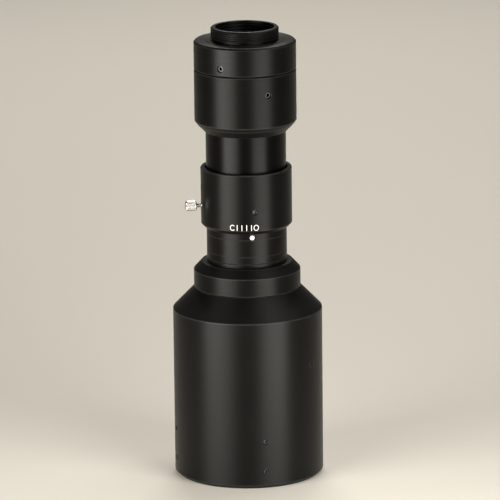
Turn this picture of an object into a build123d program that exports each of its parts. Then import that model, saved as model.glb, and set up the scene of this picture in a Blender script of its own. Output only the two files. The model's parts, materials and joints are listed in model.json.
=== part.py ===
"""A telecentric lens that stands on its objective end, with the camera thread on top.

Frame: millimetres, +Z along the optical axis towards the camera, origin on that axis in the
plane of the objective rim. -Y is the front, the side with the index dot. Angles are counted
from the front, counter-clockwise seen from the camera end. The iris ring and all that it
drives are drawn in the position where the index dot lies just short of the open mark.
"""

from build123d import *
from math import acos, atan2, copysign, cos, degrees, radians, sin, sqrt
import os

os.makedirs("parts", exist_ok=True)

# Clearances
seat_play = 0.04  # radial, between fixed pieces
turning_play = 0.06  # radial, between pieces that turn on each other
face_play = 0.05  # axial, between faces that turn on each other
glass_play = 0.03  # between a glass surface and what it rests on
edge_break = 0.3  # small chamfer on turned outer edges
cut_margin = 1.0  # how far a cut runs past the surface that it opens

# Camera thread, one inch across
thread_radius = 12.7
thread_length = 4.0
thread_chamfer = 0.6
relief_length = 0.8
relief_depth = 0.75
seat_relief_width = 0.15
seat_relief_depth = 0.15
mount_wall = 1.7
glare_groove_depth = 0.3
glare_groove_pitch = 1.2
glare_groove_count = 4

# Lengths of the outer sections, from the objective rim upwards
barrel_length = 63.5
cone_length = 8.2
coupling_band = 6.8
coupling_chamfer = 3.2
lock_ring_length = 4.25
neck_length = 6.45
index_ring_show = 2.4
sleeve_length = 22.8
tube_show = 13.7
adapter_lower_chamfer = 2.7
adapter_upper_chamfer = 1.4
adapter_wall_length = 19.3
seam_gap = 0.25
mount_ring_length = 10.7
mount_edge_chamfer = 0.65
shoulder_length = 0.15

# Objective glass
objective_glass_radius = 23.15
objective_vertex = 1.6
crown_front_curve = 95.0
crown_back_curve = 70.0
crown_edge = 1.7
flint_back_curve = 220.0
flint_thickness = 3.2
objective_air_gap = 0.6
meniscus_front_curve = 150.0
meniscus_back_curve = 300.0
meniscus_edge = 4.3
objective_lip = 1.35

# Objective cell and light baffle
cell_wall = 2.55
cell_recess = 1.2
cell_lip_length = 2.4
cell_groove_depth = 0.5
retaining_step = 0.4
front_ring_thickness = 2.0
spanner_slot_width = 2.0
spanner_slot_depth = 1.0
baffle_wall = 0.8
baffle_inset = 1.0
baffle_length = 23.5
baffle_plate = 1.0
baffle_edge = 0.35
baffle_hole_radius = 15.0

# Proportions of the grub screws, as shares of the screw's radius
point_share = 0.6
socket_share = 0.58

# Objective barrel
barrel_wall = 2.22
barrel_rim_chamfer = 1.2
barrel_step = 0.75
barrel_throat_length = 1.2
barrel_cone_rise = 7.5
barrel_screw_radius = 0.95
barrel_screw_sink = 0.4
barrel_screw_angle = 12.9
barrel_screw_sides = 4
lower_screw_height = 6.5
upper_screw_height = 18.0
barrel_plug_height = 44.7
barrel_plug_radius = 1.3
barrel_plug_length = 1.6
barrel_plug_sink = 0.05

# Coupling ring
coupling_lip = 3.0
coupling_shelf = 2.0
coupling_spigot_wall = 3.46
coupling_spigot_length = 3.4
coupling_step = 1.4

# Aperture barrel, its lock ring and the index ring
neck_wall = 1.9
neck_thread_step = 0.4
neck_thread_length = 9.7
lock_ring_groove_height = 1.4
lock_ring_groove = 0.2
index_ring_wall = 1.06
index_ring_length = 4.2
housing_thread_length = 7.8

# Iris housing
iris_pocket_radius = 13.0
housing_wall = 2.0
iris_shelf_length = 5.6
housing_rim_length = 1.75

# Iris
iris_base_thickness = 1.4
iris_base_margin = 0.2
blade_count = 8
blade_thickness = 0.12
blade_spacing = 0.16
blade_inner_radius = 5.0
blade_back_angle = -4.0
blade_tip_angle = 104.0
blade_corner = 0.8
blade_play = 0.05
blade_ratio = 0.8
pivot_inset = 2.6
pivot_pin_radius = 0.45
pivot_gap = 0.35
pivot_ear_radius = 1.05
blade_pin_radius = 0.35
blade_pin_arm = 3.0
blade_pin_inset = 0.2
blade_lever_width = 1.5
iris_travel = 30.0
iris_rest = 4.3
cam_groove_depth = 0.7
cam_overrun = 0.75
cam_ring_thickness = 2.2
cam_ring_hole_radius = 6.6
iris_cover_thickness = 1.1
iris_cover_hole_radius = 9.0

# Iris ring, the sleeve that the hand turns, and its screws
sleeve_wall = 1.99
sleeve_chamfer = 1.5
sleeve_relief_depth = 0.5
sleeve_relief_length = 3.0
sleeve_screw_angle = 10.6
sleeve_screw_rise = 8.6
sleeve_screw_radius = 0.95
sleeve_screw_sink = 0.75
sleeve_screw_point = 0.4
drive_screw_angle = -79.4
drive_shank_radius = 0.8
drive_pin_radius = 0.45
drive_pin_depth = 0.95
drive_head_radius = 1.4
drive_head_length = 0.9
drive_head_sink = 0.6
driver_slot_width = 0.5

# Thumb screw
thumb_stem_radius = 0.8
thumb_head_radius = 1.95
thumb_head_length = 4.05
thumb_head_gap = 2.05
knurl_count = 20
knurl_depth = 0.16

# Relay barrel and rear cell
relay_spigot_wall = 1.56
relay_wall = 1.8
relay_shelf_rise = 4.3
adapter_socket_length = 19.7
rear_cell_wall = 2.62
rear_lip = 0.9
rear_lip_length = 1.2
rear_front_curve = 38.0
rear_back_curve = 60.0
rear_meniscus_thickness = 3.0
rear_air_gap = 2.6
rear_crown_front_curve = 90.0
rear_crown_back_curve = 34.0
rear_crown_edge = 2.72
rear_flint_back_curve = 120.0
rear_flint_thickness = 2.2
rear_ring_thickness = 2.2
cell_lock_ring_thickness = 2.5
cell_lock_ring_wall = 2.0

# Camera adapter and camera mount ring
adapter_wall = 4.01
adapter_facet_inset = 1.05
adapter_shoulder_inset = 2.04
adapter_spigot_wall = 3.5
adapter_spigot_length = 7.3
adapter_screw_angle = 26.8
adapter_screw_drop = 6.9
mount_groove_depth = 0.8
mount_screw_angle = -29.1
mount_screw_rise = 2.85
mount_shoulder_step = 1.85
ring_screw_radius = 1.15
ring_screw_sides = 3
ring_screw_sink = 0.65
ring_screw_point = 0.5

# Heights of the outer section ends
cone_top = barrel_length + cone_length
coupling_edge = cone_top + coupling_band
coupling_top = coupling_edge + coupling_chamfer
neck_bottom = coupling_top + lock_ring_length
neck_top = neck_bottom + neck_length
sleeve_bottom = neck_top + index_ring_show
sleeve_top = sleeve_bottom + sleeve_length
adapter_bottom = sleeve_top + tube_show
adapter_facet = adapter_bottom + adapter_lower_chamfer
adapter_wall_bottom = adapter_facet + adapter_upper_chamfer
adapter_top = adapter_wall_bottom + adapter_wall_length
mount_ring_bottom = adapter_top + seam_gap
mount_ring_top = mount_ring_bottom + mount_ring_length
mount_seat = mount_ring_top + shoulder_length
thread_bottom = mount_seat + relief_length
overall_length = thread_bottom + thread_length

# Radii that follow from what each piece holds
cell_bore_radius = objective_glass_radius + seat_play
cell_radius = cell_bore_radius + cell_wall
front_bore_radius = cell_radius + seat_play
barrel_radius = front_bore_radius + barrel_wall
baffle_radius = cell_radius - baffle_inset
tube_radius = iris_pocket_radius + housing_wall
sleeve_bore_radius = tube_radius + turning_play
sleeve_radius = sleeve_bore_radius + sleeve_wall
housing_thread_radius = tube_radius - index_ring_wall - seat_play
neck_thread_radius = housing_thread_radius - neck_thread_step
neck_bore_radius = neck_thread_radius - neck_wall
coupling_bore_radius = neck_thread_radius + seat_play
coupling_spigot_radius = coupling_bore_radius + coupling_spigot_wall
coupling_radius = coupling_spigot_radius + coupling_lip
coupling_top_radius = tube_radius + coupling_shelf
adapter_bore_radius = tube_radius + seat_play
adapter_radius = adapter_bore_radius + adapter_wall
adapter_bore_top = adapter_bore_radius - adapter_shoulder_inset
adapter_spigot_radius = adapter_bore_top + adapter_spigot_wall


def sag(curve, radius):
    """Height of a glass surface at a radius above its middle; curve is negative when it falls."""
    return curve - copysign(sqrt(curve * curve - radius * radius), curve)


def turn(*points, mode=Mode.ADD):
    """Turn a closed outline of (radius, height) points about the optical axis."""
    with BuildSketch(Plane.XZ) as section:
        with BuildLine():
            Polyline(*points, close=True)
        make_face()
    revolve(section.sketch, axis=Axis.Z, mode=mode)


def turn_glass(radius, lower_vertex, lower_curve, upper_vertex, upper_curve):
    """Turn a lens element between two spherical surfaces about the optical axis."""
    half = radius / 2
    lower_middle = (half, lower_vertex + sag(lower_curve, half))
    lower_edge = (radius, lower_vertex + sag(lower_curve, radius))
    upper_middle = (half, upper_vertex + sag(upper_curve, half))
    upper_edge = (radius, upper_vertex + sag(upper_curve, radius))
    with BuildSketch(Plane.XZ) as section:
        with BuildLine():
            lower = ThreePointArc((0, lower_vertex), lower_middle, lower_edge)
            rim = Line(lower @ 1, upper_edge)
            upper = ThreePointArc(rim @ 1, upper_middle, (0, upper_vertex))
            Line(upper @ 1, lower @ 0)
        make_face()
    revolve(section.sketch, axis=Axis.Z)


def side_plane(angle, height, radius):
    """Plane that faces away from the axis at an angle from the front, at a height and radius."""
    turned = radians(angle - 90)
    outward = (cos(turned), sin(turned), 0)
    return Plane(origin=(radius * outward[0], radius * outward[1], height), x_dir=(0, 0, 1), z_dir=outward)


def side_planes(angle, sides, heights, radius):
    """Side planes evenly spaced about the axis, at each of the given heights."""
    step = 360 / sides
    return [side_plane(angle + step * side, height, radius) for side in range(sides) for height in heights]


def drill(planes, hole_radius, depth):
    """Drill a round hole inwards from each plane."""
    with BuildSketch(*planes) as mouth:
        Circle(hole_radius)
    extrude(mouth.sketch, amount=-depth, mode=Mode.SUBTRACT)


def grub_screws(planes, screw_radius, length, point_length):
    """Headless screws with a hexagon socket and a turned-down point, one inwards from each plane."""
    body_length = length - point_length
    with BuildSketch(*planes) as body:
        Circle(screw_radius)
    extrude(body.sketch, amount=-body_length)
    with BuildSketch(*[plane.offset(-body_length) for plane in planes]) as point:
        Circle(screw_radius * point_share)
    extrude(point.sketch, amount=-point_length)
    with BuildSketch(*planes) as socket:
        RegularPolygon(screw_radius * socket_share, 6)
    extrude(socket.sketch, amount=-length / 2, mode=Mode.SUBTRACT)


def keep(piece, name):
    """Name a finished piece and write it to its file."""
    piece.part.label = name
    export_step(piece.part, f"parts/{name}.step")


def spanner_slots(height, depth, inner_radius, outer_radius):
    """Two opposite slots for a spanner, cut across the face of a retaining ring."""
    middle = (inner_radius + outer_radius) / 2
    with BuildSketch(Plane.XY.offset(height)) as slots:
        with PolarLocations(middle, 2):
            Rectangle(2 * (outer_radius - inner_radius), spanner_slot_width)
    extrude(slots.sketch, amount=depth, mode=Mode.SUBTRACT)


# Objective glass, with the vertex heights along the axis
crown_front_sag = sag(crown_front_curve, objective_glass_radius)
crown_back_sag = sag(crown_back_curve, objective_glass_radius)
meniscus_front_sag = sag(meniscus_front_curve, objective_glass_radius)
meniscus_back_sag = sag(meniscus_back_curve, objective_glass_radius)
crown_back_vertex = objective_vertex + crown_front_sag + crown_edge + crown_back_sag
flint_front_vertex = crown_back_vertex + glass_play
flint_back_vertex = flint_front_vertex + flint_thickness
meniscus_vertex = flint_back_vertex + objective_air_gap
meniscus_back_vertex = meniscus_vertex + meniscus_front_sag + meniscus_edge + meniscus_back_sag
objective_stop_radius = objective_glass_radius - objective_lip

with BuildPart() as objective_crown:
    turn_glass(
        objective_glass_radius, objective_vertex, crown_front_curve, crown_back_vertex, -crown_back_curve
    )
keep(objective_crown, "objective_crown")

with BuildPart() as objective_flint:
    turn_glass(
        objective_glass_radius, flint_front_vertex, -crown_back_curve, flint_back_vertex, -flint_back_curve
    )
keep(objective_flint, "objective_flint")

with BuildPart() as objective_meniscus:
    turn_glass(
        objective_glass_radius,
        meniscus_vertex,
        meniscus_front_curve,
        meniscus_back_vertex,
        -meniscus_back_curve,
    )
keep(objective_meniscus, "objective_meniscus")

# Spacer between the cemented pair and the meniscus
spacer_bottom = flint_back_vertex + sag(-flint_back_curve, objective_stop_radius) + glass_play
spacer_top = meniscus_vertex + sag(meniscus_front_curve, objective_stop_radius) - glass_play
with BuildPart() as objective_spacer:
    turn(
        (objective_stop_radius, spacer_bottom),
        (objective_glass_radius, spacer_bottom),
        (objective_glass_radius, spacer_top),
        (objective_stop_radius, spacer_top),
    )
keep(objective_spacer, "objective_spacer")

# Objective cell, the tube that carries the objective glass
cell_lip_height = meniscus_back_vertex + sag(-meniscus_back_curve, objective_stop_radius) + glass_play
cell_top = cell_lip_height + cell_lip_length
front_ring_top = objective_vertex + sag(crown_front_curve, objective_stop_radius) - glass_play
front_ring_bottom = front_ring_top - front_ring_thickness
front_ring_radius = cell_bore_radius + retaining_step
cell_groove_half = barrel_screw_radius * point_share + seat_play
with BuildPart() as objective_cell:
    turn(
        (cell_radius - edge_break, cell_recess),
        (cell_radius, cell_recess + edge_break),
        (cell_radius, cell_top),
        (objective_stop_radius, cell_top),
        (objective_stop_radius, cell_lip_height),
        (cell_bore_radius, cell_lip_height),
        (cell_bore_radius, front_ring_top + edge_break),
        (front_ring_radius + seat_play, front_ring_top + edge_break),
        (front_ring_radius + seat_play, cell_recess),
    )
    for screw_height in (lower_screw_height, upper_screw_height):
        turn(
            (cell_radius - cell_groove_depth, screw_height - cell_groove_half),
            (cell_radius + cut_margin, screw_height - cell_groove_half),
            (cell_radius + cut_margin, screw_height + cell_groove_half),
            (cell_radius - cell_groove_depth, screw_height + cell_groove_half),
            mode=Mode.SUBTRACT,
        )
keep(objective_cell, "objective_cell")

with BuildPart() as objective_retaining_ring:
    turn(
        (objective_stop_radius + edge_break, front_ring_bottom),
        (front_ring_radius, front_ring_bottom),
        (front_ring_radius, front_ring_top),
        (objective_stop_radius, front_ring_top),
        (objective_stop_radius, front_ring_bottom + edge_break),
    )
    spanner_slots(front_ring_bottom, spanner_slot_depth, objective_stop_radius, front_ring_radius)
keep(objective_retaining_ring, "objective_retaining_ring")

# Light baffle, a cup that the cell traps against a step in the barrel
baffle_top = cell_top + baffle_length
with BuildPart() as objective_baffle:
    turn(
        (baffle_radius - baffle_wall, cell_top),
        (baffle_radius, cell_top),
        (baffle_radius, baffle_top),
        (baffle_hole_radius, baffle_top),
        (baffle_hole_radius, baffle_top - baffle_edge),
        (baffle_hole_radius + baffle_plate, baffle_top - baffle_plate),
        (baffle_radius - baffle_wall, baffle_top - baffle_plate),
    )
keep(objective_baffle, "objective_baffle")

# Objective barrel
barrel_screws = side_planes(
    barrel_screw_angle,
    barrel_screw_sides,
    (lower_screw_height, upper_screw_height),
    barrel_radius - barrel_screw_sink,
)
barrel_plug_angle = barrel_screw_angle + 180 / barrel_screw_sides
coupling_spigot_bottom = cone_top - coupling_spigot_length
barrel_throat_bottom = coupling_spigot_bottom - barrel_throat_length
barrel_throat_radius = coupling_spigot_radius - coupling_step
barrel_bore_radius = baffle_radius - barrel_step
with BuildPart() as objective_barrel:
    turn(
        (barrel_radius - barrel_rim_chamfer, 0),
        (barrel_radius, barrel_rim_chamfer),
        (barrel_radius, barrel_length),
        (coupling_radius, cone_top),
        (coupling_spigot_radius + seat_play, cone_top),
        (coupling_spigot_radius + seat_play, coupling_spigot_bottom),
        (barrel_throat_radius, coupling_spigot_bottom),
        (barrel_throat_radius, barrel_throat_bottom),
        (barrel_bore_radius, barrel_throat_bottom - barrel_cone_rise),
        (barrel_bore_radius, baffle_top),
        (baffle_radius + seat_play, baffle_top),
        (baffle_radius + seat_play, cell_top),
        (front_bore_radius, cell_top),
        (front_bore_radius, edge_break),
        (front_bore_radius + edge_break, 0),
    )
    drill(
        side_planes(
            barrel_screw_angle, barrel_screw_sides, (lower_screw_height, upper_screw_height), barrel_radius
        ),
        barrel_screw_radius + seat_play,
        barrel_radius - front_bore_radius + cut_margin,
    )
    drill(
        [side_plane(barrel_plug_angle, barrel_plug_height, barrel_radius)],
        barrel_plug_radius + seat_play,
        barrel_plug_length,
    )
keep(objective_barrel, "objective_barrel")

with BuildPart() as barrel_set_screws:
    grub_screws(
        barrel_screws,
        barrel_screw_radius,
        barrel_wall + seat_play - barrel_screw_sink + cell_groove_depth - glass_play,
        cell_groove_depth + seat_play,
    )
keep(barrel_set_screws, "barrel_set_screws")

with BuildPart() as barrel_plug:
    with BuildSketch(side_plane(barrel_plug_angle, barrel_plug_height, barrel_radius - barrel_plug_length)):
        Circle(barrel_plug_radius)
    extrude(amount=barrel_plug_length - barrel_plug_sink)
keep(barrel_plug, "barrel_plug")

# Coupling ring between the objective barrel and the aperture section
with BuildPart() as coupling_ring:
    turn(
        (coupling_bore_radius, coupling_spigot_bottom),
        (coupling_spigot_radius, coupling_spigot_bottom),
        (coupling_spigot_radius, cone_top),
        (coupling_radius - edge_break, cone_top),
        (coupling_radius, cone_top + edge_break),
        (coupling_radius, coupling_edge),
        (coupling_top_radius, coupling_top),
        (coupling_bore_radius, coupling_top),
    )
keep(coupling_ring, "coupling_ring")

with BuildPart() as neck_lock_ring:
    turn(
        (coupling_bore_radius, coupling_top),
        (tube_radius, coupling_top),
        (tube_radius, coupling_top + lock_ring_groove_height - lock_ring_groove),
        (tube_radius - lock_ring_groove, coupling_top + lock_ring_groove_height),
        (tube_radius, coupling_top + lock_ring_groove_height + lock_ring_groove),
        (tube_radius, neck_bottom - edge_break / 2),
        (tube_radius - edge_break / 2, neck_bottom),
        (coupling_bore_radius, neck_bottom),
    )
keep(neck_lock_ring, "neck_lock_ring")

# Aperture barrel, the neck that joins the coupling ring to the iris housing
housing_thread_top = neck_top + housing_thread_length
with BuildPart() as aperture_barrel:
    turn(
        (neck_bore_radius, neck_bottom - lock_ring_length - neck_thread_length),
        (neck_thread_radius, neck_bottom - lock_ring_length - neck_thread_length),
        (neck_thread_radius, neck_bottom),
        (tube_radius, neck_bottom),
        (tube_radius, neck_top - edge_break / 2),
        (tube_radius - edge_break / 2, neck_top),
        (housing_thread_radius, neck_top),
        (housing_thread_radius, housing_thread_top),
        (neck_bore_radius, housing_thread_top),
    )
keep(aperture_barrel, "aperture_barrel")

index_ring_top = neck_top + index_ring_length
housing_bore_radius = housing_thread_radius + seat_play
iris_height = housing_thread_top + iris_shelf_length
with BuildPart() as index_ring:
    turn(
        (housing_bore_radius, neck_top),
        (tube_radius, neck_top),
        (tube_radius, index_ring_top),
        (housing_bore_radius, index_ring_top),
    )
keep(index_ring, "index_ring")

# Iris levels, from the base plate up to the cover
iris_base_top = iris_height + iris_base_thickness
blade_bottom = iris_base_top + blade_play
blade_stack = blade_spacing * (blade_count - 1) + blade_thickness
pivot_pin_top = blade_bottom + blade_stack + blade_play
cam_ring_bottom = pivot_pin_top + 2 * blade_play
cam_groove_top = cam_ring_bottom + cam_groove_depth
cam_ring_top = cam_ring_bottom + cam_ring_thickness
drive_screw_height = (cam_groove_top + cam_ring_top) / 2
iris_cover_bottom = cam_ring_top + face_play
iris_cover_top = iris_cover_bottom + iris_cover_thickness
housing_top = iris_cover_top + housing_rim_length
blade_pitch = 360 / blade_count
pivot_circle_radius = iris_pocket_radius - pivot_inset
blade_outer_radius = pivot_circle_radius - pivot_pin_radius - pivot_gap
blade_pin_open_radius = pivot_circle_radius - blade_pin_inset
iris_base_hole_radius = blade_inner_radius + iris_base_margin
iris_plate_radius = iris_pocket_radius - seat_play
relay_spigot_bore = iris_plate_radius - relay_spigot_wall
cam_ring_radius = iris_pocket_radius - turning_play

with BuildPart() as iris_base_plate:
    turn(
        (iris_base_hole_radius, iris_height),
        (iris_plate_radius, iris_height),
        (iris_plate_radius, iris_base_top),
        (iris_base_hole_radius, iris_base_top),
    )
    with BuildSketch(Plane.XY.offset(iris_height)) as pin_holes:
        with PolarLocations(pivot_circle_radius, blade_count):
            Circle(pivot_pin_radius + seat_play / 2)
    extrude(pin_holes.sketch, amount=iris_base_thickness, mode=Mode.SUBTRACT)
keep(iris_base_plate, "iris_base_plate")

with BuildPart() as iris_pivot_pins:
    with BuildSketch(Plane.XY.offset(iris_height)):
        with PolarLocations(pivot_circle_radius, blade_count):
            Circle(pivot_pin_radius)
    extrude(amount=pivot_pin_top - iris_height)
keep(iris_pivot_pins, "iris_pivot_pins")

# Blade pin and cam groove. With the blade open its pin lies behind the pivot. As the iris ring
# turns, each blade turns by a fixed share of that angle, and the groove's centre line is the
# path of the pin seen from the turning cam ring.
open_pin_angle = -degrees(
    acos(
        (blade_pin_open_radius**2 + pivot_circle_radius**2 - blade_pin_arm**2)
        / (2 * blade_pin_open_radius * pivot_circle_radius)
    )
)
open_pin_x = blade_pin_open_radius * cos(radians(open_pin_angle)) - pivot_circle_radius
open_pin_y = blade_pin_open_radius * sin(radians(open_pin_angle))
open_arm_angle = degrees(atan2(open_pin_y, open_pin_x))


def cam_point(blade_angle):
    """Place of a blade pin on the cam ring, with the blade turned inwards by an angle."""
    arm = radians(open_arm_angle + blade_angle)
    x = pivot_circle_radius + blade_pin_arm * cos(arm)
    y = blade_pin_arm * sin(arm)
    ring = radians(-blade_angle / blade_ratio)
    return (x * cos(ring) - y * sin(ring), x * sin(ring) + y * cos(ring))


blade_travel = blade_ratio * iris_travel
cam_centre_line = ThreePointArc(
    cam_point(-cam_overrun), cam_point(blade_travel / 2), cam_point(blade_travel + cam_overrun)
)
blade_rest = blade_ratio * iris_rest


def blade_pivot_plane(number):
    """Plane at a blade's pivot, its x axis turned outwards from the optical axis with the blade."""
    around = radians(blade_pitch * number)
    turned = radians(blade_pitch * number + blade_rest)
    origin = (pivot_circle_radius * cos(around), pivot_circle_radius * sin(around), blade_level(number))
    return Plane(origin=origin, x_dir=(cos(turned), sin(turned), 0), z_dir=(0, 0, 1))


def blade_level(number):
    """Height of a blade's lower face."""
    return blade_bottom + blade_spacing * number


blade_pin_top = cam_groove_top - blade_play
for number in range(blade_count):
    with BuildPart() as iris_blade:
        with BuildSketch(blade_pivot_plane(number)) as outline:
            with BuildLine():
                optical_axis = (-pivot_circle_radius, 0)
                blade_span = blade_tip_angle - blade_back_angle
                outer = CenterArc(optical_axis, blade_outer_radius, blade_back_angle, blade_span)
                inner = CenterArc(optical_axis, blade_inner_radius, blade_back_angle, blade_span)
                Line(outer @ 0, inner @ 0)
                Line(outer @ 1, inner @ 1)
            make_face()
            tips = [outline.vertices().sort_by_distance(corner)[0] for corner in (outer @ 1, inner @ 1)]
            fillet(tips, blade_corner)
            with Locations((-pivot_ear_radius, 0)):
                Rectangle(2 * pivot_ear_radius, 2 * pivot_ear_radius)
            Circle(pivot_ear_radius)
            with Locations((open_pin_x / 2, open_pin_y / 2)):
                SlotCenterToCenter(blade_pin_arm, blade_lever_width, rotation=open_arm_angle)
            Circle(pivot_pin_radius + blade_play, mode=Mode.SUBTRACT)
        extrude(amount=blade_thickness)
        with BuildSketch(blade_pivot_plane(number)) as pin:
            with Locations((open_pin_x, open_pin_y)):
                Circle(blade_pin_radius)
        extrude(pin.sketch, amount=blade_pin_top - blade_level(number))
    keep(iris_blade, f"iris_blade_{number + 1}")

with BuildPart() as iris_cam_ring:
    turn(
        (cam_ring_hole_radius, cam_ring_bottom),
        (cam_ring_radius, cam_ring_bottom),
        (cam_ring_radius, cam_ring_top),
        (cam_ring_hole_radius, cam_ring_top),
    )
    with BuildSketch(Plane.XY.offset(cam_ring_bottom)) as cam_grooves:
        with PolarLocations(0, blade_count, start_angle=iris_rest):
            SlotArc(cam_centre_line, 2 * (blade_pin_radius + blade_play))
    extrude(cam_grooves.sketch, amount=cam_groove_depth, mode=Mode.SUBTRACT)
    drill(
        [side_plane(drive_screw_angle, drive_screw_height, cam_ring_radius)],
        drive_pin_radius + seat_play,
        drive_pin_depth + seat_play,
    )
keep(iris_cam_ring, "iris_cam_ring")

with BuildPart() as iris_cover_ring:
    turn(
        (iris_cover_hole_radius, iris_cover_bottom),
        (iris_plate_radius, iris_cover_bottom),
        (iris_plate_radius, iris_cover_top),
        (iris_cover_hole_radius, iris_cover_top),
    )
    spanner_slots(iris_cover_top, -iris_cover_thickness / 2, iris_cover_hole_radius, iris_plate_radius)
keep(iris_cover_ring, "iris_cover_ring")

# Iris housing, with the window through which the iris ring drives the cam ring
window_half_height = drive_shank_radius + face_play
with BuildPart() as iris_housing:
    turn(
        (housing_bore_radius, index_ring_top),
        (tube_radius, index_ring_top),
        (tube_radius, housing_top),
        (iris_pocket_radius, housing_top),
        (iris_pocket_radius, iris_height),
        (neck_bore_radius, iris_height),
        (neck_bore_radius, housing_thread_top),
        (housing_bore_radius, housing_thread_top),
    )
    with BuildSketch(Plane.XY.offset(drive_screw_height - window_half_height)) as window:
        with BuildLine():
            window_start = drive_screw_angle - 90 - iris_rest
            window_outer = CenterArc((0, 0), tube_radius + cut_margin, window_start, iris_travel)
            window_inner = CenterArc((0, 0), iris_pocket_radius - cut_margin, window_start, iris_travel)
            Line(window_outer @ 0, window_inner @ 0)
            Line(window_outer @ 1, window_inner @ 1)
        make_face()
    extrude(window.sketch, amount=2 * window_half_height, mode=Mode.SUBTRACT)
    for end_angle in (drive_screw_angle - iris_rest, drive_screw_angle - iris_rest + iris_travel):
        drill(
            [side_plane(end_angle, drive_screw_height, tube_radius)],
            window_half_height,
            tube_radius - iris_pocket_radius + seat_play,
        )
keep(iris_housing, "iris_housing")

# Iris ring
sleeve_screw_height = sleeve_bottom + sleeve_screw_rise
sleeve_relief_radius = sleeve_bore_radius + sleeve_relief_depth
with BuildPart() as iris_sleeve:
    turn(
        (sleeve_bore_radius, sleeve_bottom),
        (sleeve_radius - sleeve_chamfer, sleeve_bottom),
        (sleeve_radius, sleeve_bottom + sleeve_chamfer),
        (sleeve_radius, sleeve_top - edge_break),
        (sleeve_radius - edge_break, sleeve_top),
        (sleeve_relief_radius, sleeve_top),
        (sleeve_relief_radius, sleeve_top - sleeve_relief_length),
        (sleeve_bore_radius, sleeve_top - sleeve_relief_length),
    )
    drill(
        [side_plane(sleeve_screw_angle, sleeve_screw_height, sleeve_radius)],
        sleeve_screw_radius + seat_play,
        sleeve_radius - sleeve_bore_radius + cut_margin,
    )
    drill(
        [side_plane(drive_screw_angle, sleeve_screw_height, sleeve_radius)],
        thumb_stem_radius + turning_play,
        sleeve_radius - sleeve_bore_radius + cut_margin,
    )
    drill(
        [side_plane(drive_screw_angle, drive_screw_height, sleeve_radius)],
        drive_shank_radius + seat_play,
        sleeve_radius - sleeve_bore_radius + cut_margin,
    )
    drill(
        [side_plane(drive_screw_angle, drive_screw_height, sleeve_radius)],
        drive_head_radius + seat_play,
        drive_head_sink + drive_head_length,
    )
keep(iris_sleeve, "iris_sleeve")

with BuildPart() as sleeve_set_screw:
    grub_screws(
        [side_plane(sleeve_screw_angle, sleeve_screw_height, sleeve_radius - sleeve_screw_sink)],
        sleeve_screw_radius,
        sleeve_radius - sleeve_screw_sink - sleeve_bore_radius,
        sleeve_screw_point,
    )
keep(sleeve_set_screw, "sleeve_set_screw")

drive_head_face = sleeve_radius - drive_head_sink
drive_pin_end = cam_ring_radius - drive_pin_depth
with BuildPart() as iris_drive_screw:
    with BuildSketch(side_plane(drive_screw_angle, drive_screw_height, drive_head_face)):
        Circle(drive_head_radius)
    extrude(amount=-drive_head_length)
    with BuildSketch(side_plane(drive_screw_angle, drive_screw_height, drive_head_face)) as shank:
        Circle(drive_shank_radius)
    extrude(shank.sketch, amount=-(drive_head_face - cam_ring_radius - turning_play))
    with BuildSketch(side_plane(drive_screw_angle, drive_screw_height, drive_head_face)) as drive_pin:
        Circle(drive_pin_radius)
    extrude(drive_pin.sketch, amount=-(drive_head_face - drive_pin_end))
    with BuildSketch(side_plane(drive_screw_angle, drive_screw_height, drive_head_face)) as driver_slot:
        Rectangle(3 * drive_head_radius, driver_slot_width)
    extrude(driver_slot.sketch, amount=-drive_head_length / 2, mode=Mode.SUBTRACT)
keep(iris_drive_screw, "iris_drive_screw")

# Thumb screw that locks the iris ring, turned about its own axis with a straight knurl
thumb_tip = tube_radius + turning_play
thumb_head_foot = sleeve_radius + thumb_head_gap
thumb_head_end = thumb_head_foot + thumb_head_length
with BuildPart() as thumb_screw:
    with BuildSketch(side_plane(drive_screw_angle, sleeve_screw_height, thumb_tip)):
        Circle(thumb_stem_radius)
    extrude(amount=thumb_head_foot - thumb_tip)
    with BuildSketch(side_plane(drive_screw_angle, sleeve_screw_height, thumb_head_foot)) as head:
        Circle(thumb_head_radius)
    extrude(head.sketch, amount=thumb_head_length)
    head_ends = thumb_screw.edges().filter_by(GeomType.CIRCLE).filter_by(
        lambda edge: edge.radius > thumb_stem_radius
    )
    chamfer(head_ends, edge_break)
    with BuildSketch(side_plane(drive_screw_angle, sleeve_screw_height, thumb_head_foot)) as knurl:
        with PolarLocations(thumb_head_radius, knurl_count):
            RegularPolygon(knurl_depth, 4)
    extrude(knurl.sketch, amount=thumb_head_length, mode=Mode.SUBTRACT)
keep(thumb_screw, "thumb_screw")

# Relay barrel, the tube that carries the rear cell and the camera adapter
relay_bore_radius = tube_radius - relay_wall
relay_shelf_height = housing_top + relay_shelf_rise
relay_tube_top = adapter_bottom + adapter_socket_length
with BuildPart() as relay_barrel:
    turn(
        (relay_spigot_bore, iris_cover_top),
        (iris_plate_radius, iris_cover_top),
        (iris_plate_radius, housing_top),
        (tube_radius, housing_top),
        (tube_radius, relay_tube_top),
        (relay_bore_radius, relay_tube_top),
        (relay_bore_radius, relay_shelf_height),
        (relay_spigot_bore, relay_shelf_height),
    )
keep(relay_barrel, "relay_barrel")

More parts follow.
